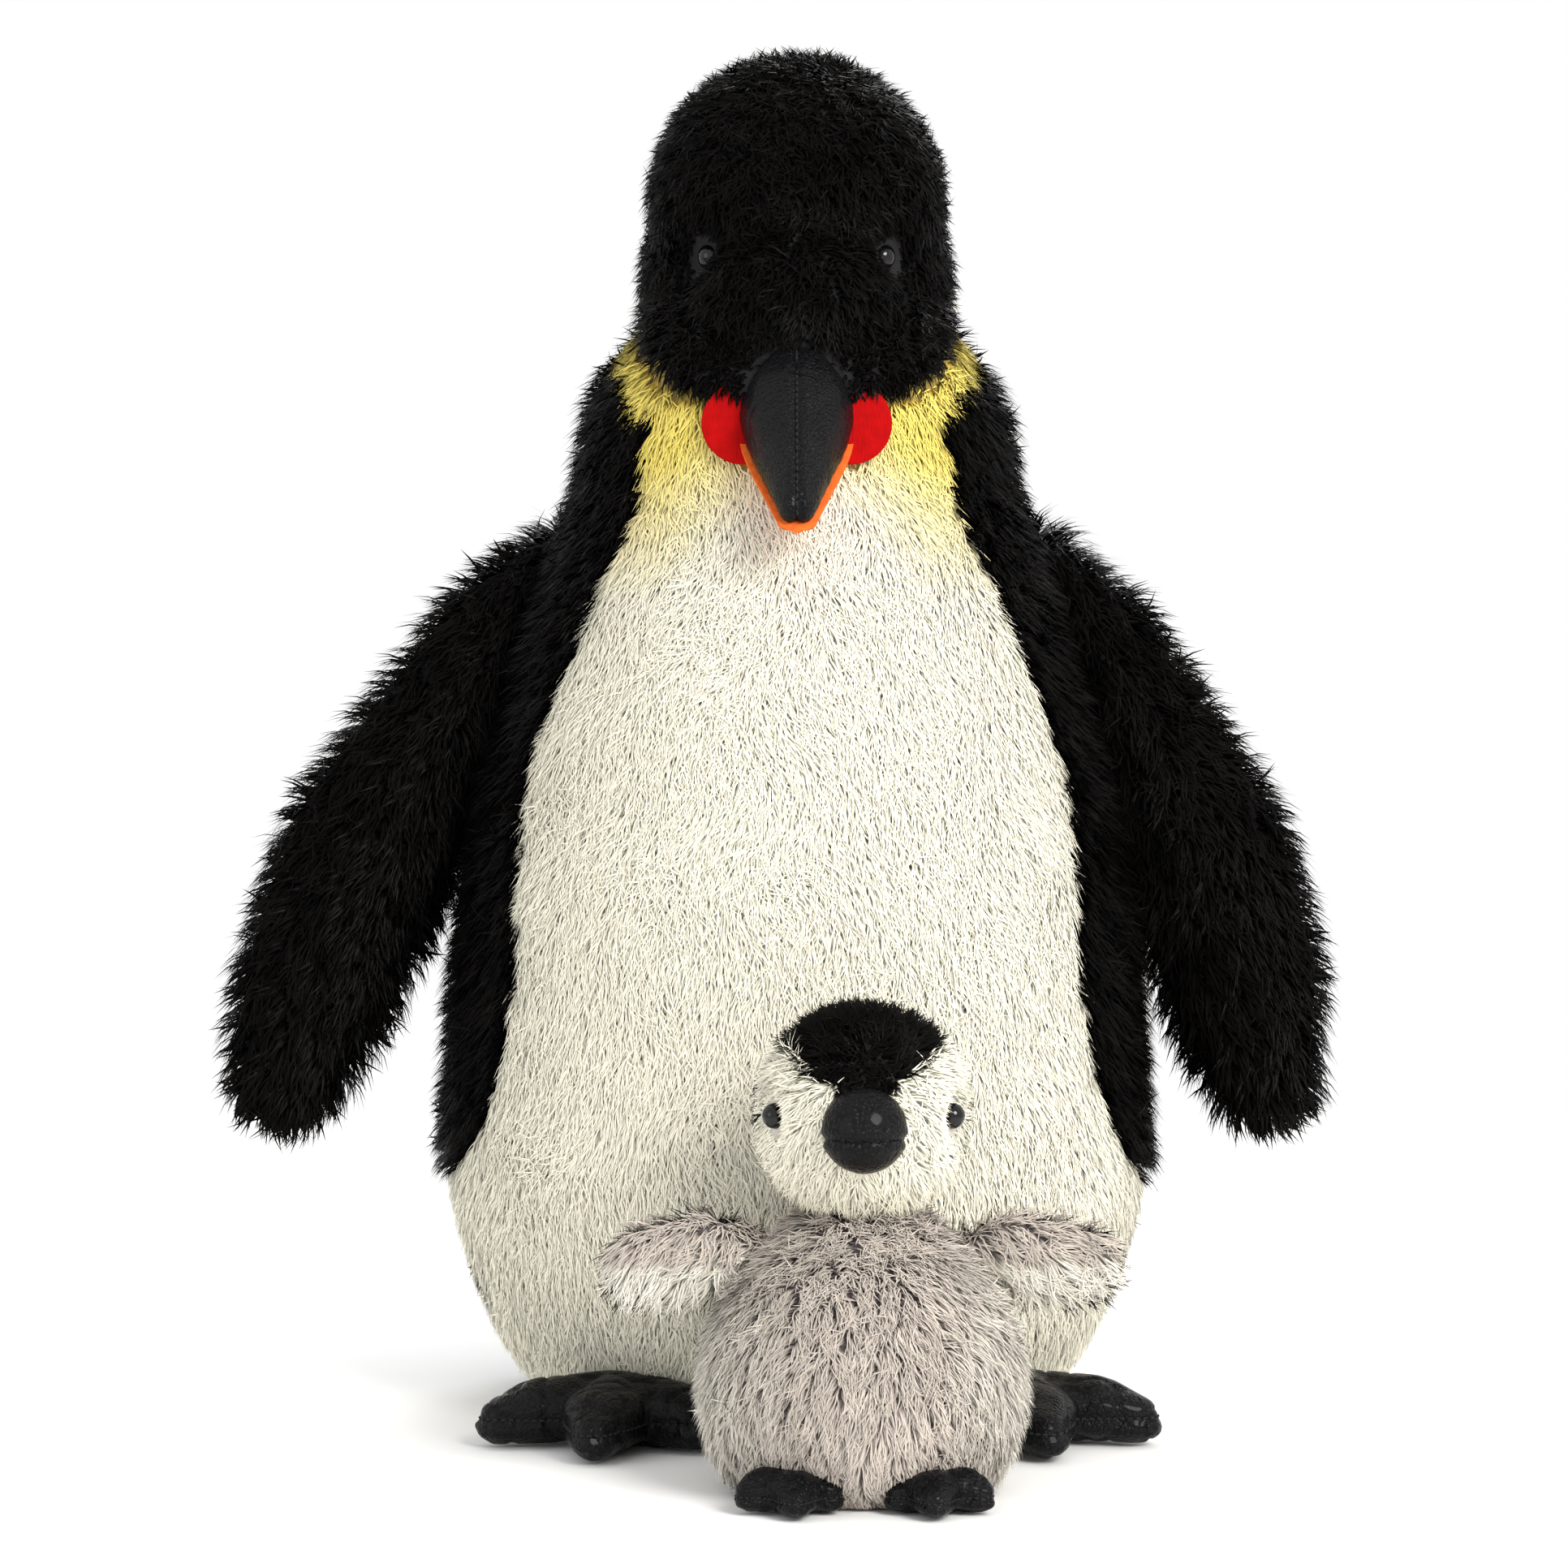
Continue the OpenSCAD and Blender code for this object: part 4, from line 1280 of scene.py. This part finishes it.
beak_pieces = [
    (f"beak_{side}_leather", "beak_upper_" + side, right)
    for side, right in (("left", False), ("right", True))
]
leather_pair(beak_bag, MIDDLE, TO_THE_RIGHT, beak_pieces, "adult_head", "beak_stuffing")

# %% Felt tongue under the beak
FELT_THICK = 0.0025
FELT_EDGE = 0.0016
lower_surface = surface_of("beak_lower")
lower_points = [v.co - BEAK_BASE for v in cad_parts["beak_lower"].data.vertices]
lower_at = sum(p.dot(beak_up) for p in lower_points) / len(lower_points)


def felt_half_width(along):
    """Half the CAD felt's width at a distance along the beak, or 0 past its tip."""
    outside = 0.06
    origin = BEAK_BASE + beak_out * along + beak_up * lower_at + Vector((outside, 0, 0))
    hit = lower_surface.ray_cast(origin, Vector((-1, 0, 0)), outside)[0]
    return hit.x if hit else 0.0


def build_felt_tongue():
    """The CAD felt's outline made a little wider, as a flat sheet that dishes towards its edges."""
    rows, columns = 26, 12
    reach = max(p.dot(beak_out) for p in lower_points)
    verts = []
    for r in range(rows + 1):
        along = reach * math.sin(math.pi / 2 * r / rows)
        half = felt_half_width(min(along, reach - 0.0006)) * (1 if r < rows else 0.3) + FELT_EDGE
        forward = BEAK_BASE + beak_out * (along + FELT_EDGE * (r / rows) ** 4) + beak_up * lower_at
        for c in range(columns + 1):
            across = 2 * c / columns - 1
            dish = -0.0012 * across * across
            verts.append(forward + Vector((half * across, 0, 0)) + beak_up * dish)
    faces = []
    for r in range(rows):
        for c in range(columns):
            a = r * (columns + 1) + c
            faces.append((a, a + 1, a + columns + 2, a + columns + 1))
    mesh = bpy.data.meshes.new("beak_lower_felt")
    mesh.from_pydata(verts, [], faces)
    return link("beak_lower_felt", mesh)


def finish_felt(piece, material, body, slot, *nodes):
    """Gives a flat felt shape its thickness and rounded edge, and attaches it to its body."""
    thick = piece.modifiers.new("thickness", "SOLIDIFY")
    thick.thickness = FELT_THICK
    thick.offset = 0
    edge = piece.modifiers.new("edge", "BEVEL")
    edge.width = 0.0007
    edge.segments = 2
    edge.angle_limit = math.radians(50)
    apply_modifiers(piece)
    turn_faces_out(piece.data)
    smooth_shaded(piece, material)
    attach(piece, body)
    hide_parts(*nodes)
    print(f"{piece.name}: {len(piece.data.polygons)} faces")


finish_felt(build_felt_tongue(), ORANGE_FELT, "adult_head", "orange_felt", "beak_lower")

# %% [markdown]
# ## Cheek discs
# A round of red felt lies on the pile on each side of the beak. It is cut flat, and it cups a little
# as it bends round the neck.

# %% Red felt discs
NECK = Vector((0, 0, 0.419))
DISC_RADIUS = 0.0187
DISC_TURN = math.radians(13.5)
DISC_RISE = math.radians(10.8)
DISC_LIFT = 0.0022


def build_disc(side, hand):
    """A round of felt laid on the neck: each ring of it sinks a little, as the neck curves away."""
    rings, sectors = 9, 56
    level = math.cos(DISC_RISE)
    out = Vector((hand * math.sin(DISC_TURN) * level, -math.cos(DISC_TURN) * level, math.sin(DISC_RISE)))
    across = Vector((0, 0, 1)).cross(out).normalized()
    up = out.cross(across)
    neck_radius = max((v.co - NECK).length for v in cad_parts["cheek_disc_" + side].data.vertices)
    middle = NECK + out * neck_radius
    verts = [middle]
    for r in range(1, rings + 1):
        for c in range(sectors):
            turn = math.tau * c / sectors
            reach = DISC_RADIUS * r / rings
            sag = reach * reach / (2.2 * neck_radius) - DISC_LIFT * (r / rings) ** 2 * abs(math.cos(turn))
            flat = across * math.cos(turn) + up * math.sin(turn)
            verts.append(middle + flat * reach - out * sag)
    faces = [(0, 1 + c, 1 + (c + 1) % sectors) for c in range(sectors)]
    for r in range(1, rings):
        first = 1 + (r - 1) * sectors
        for c in range(sectors):
            a, b = first + c, first + (c + 1) % sectors
            faces.append((a, a + sectors, b + sectors, b))
    mesh = bpy.data.meshes.new(f"cheek_disc_{side}_felt")
    mesh.from_pydata(verts, [], faces)
    return link(f"cheek_disc_{side}_felt", mesh)


for side, hand in (("left", -1), ("right", 1)):
    finish_felt(build_disc(side, hand), RED_FELT, "adult_head", "red_felt", "cheek_disc_" + side)

# %% [markdown]
# ## Eyes
# Each eye is a moulded plastic dome. Its CAD shape is right, so it only needs its finish.

# %% Eyes
for name in ("eye_left", "eye_right", "chick_eye_left", "chick_eye_right"):
    smooth_shaded(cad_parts[name], EYE_PLASTIC)
print("eyes dressed")

# %% [markdown]
# ## The chick's beak
# The chick's beak is a leather ball with a short slit for a mouth, made from an upper and a lower
# piece that meet at the seam.

# %% Chick beak
chick_beak_bag = filled_bag(["chick_beak_stuffing"], "chick_beak_bag", 0.002, 0.0018, soften=3, finer=1)
mouth_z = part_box("chick_beak_lower")[1].z
pull_seam(chick_beak_bag.data, lambda point: point.z - mouth_z, 0.001, 0.0014)
chick_beak_pieces = [
    (f"chick_beak_{part}_leather", "chick_beak_" + part, above)
    for part, above in (("upper", True), ("lower", False))
]
leather_pair(
    chick_beak_bag, (0, 0, mouth_z), UP, chick_beak_pieces, "chick_head", "chick_beak_stuffing", thick=0.0008
)

# %% Remove the strand and stitch templates
bpy.data.objects.remove(STRAND)
bpy.data.objects.remove(STITCH)
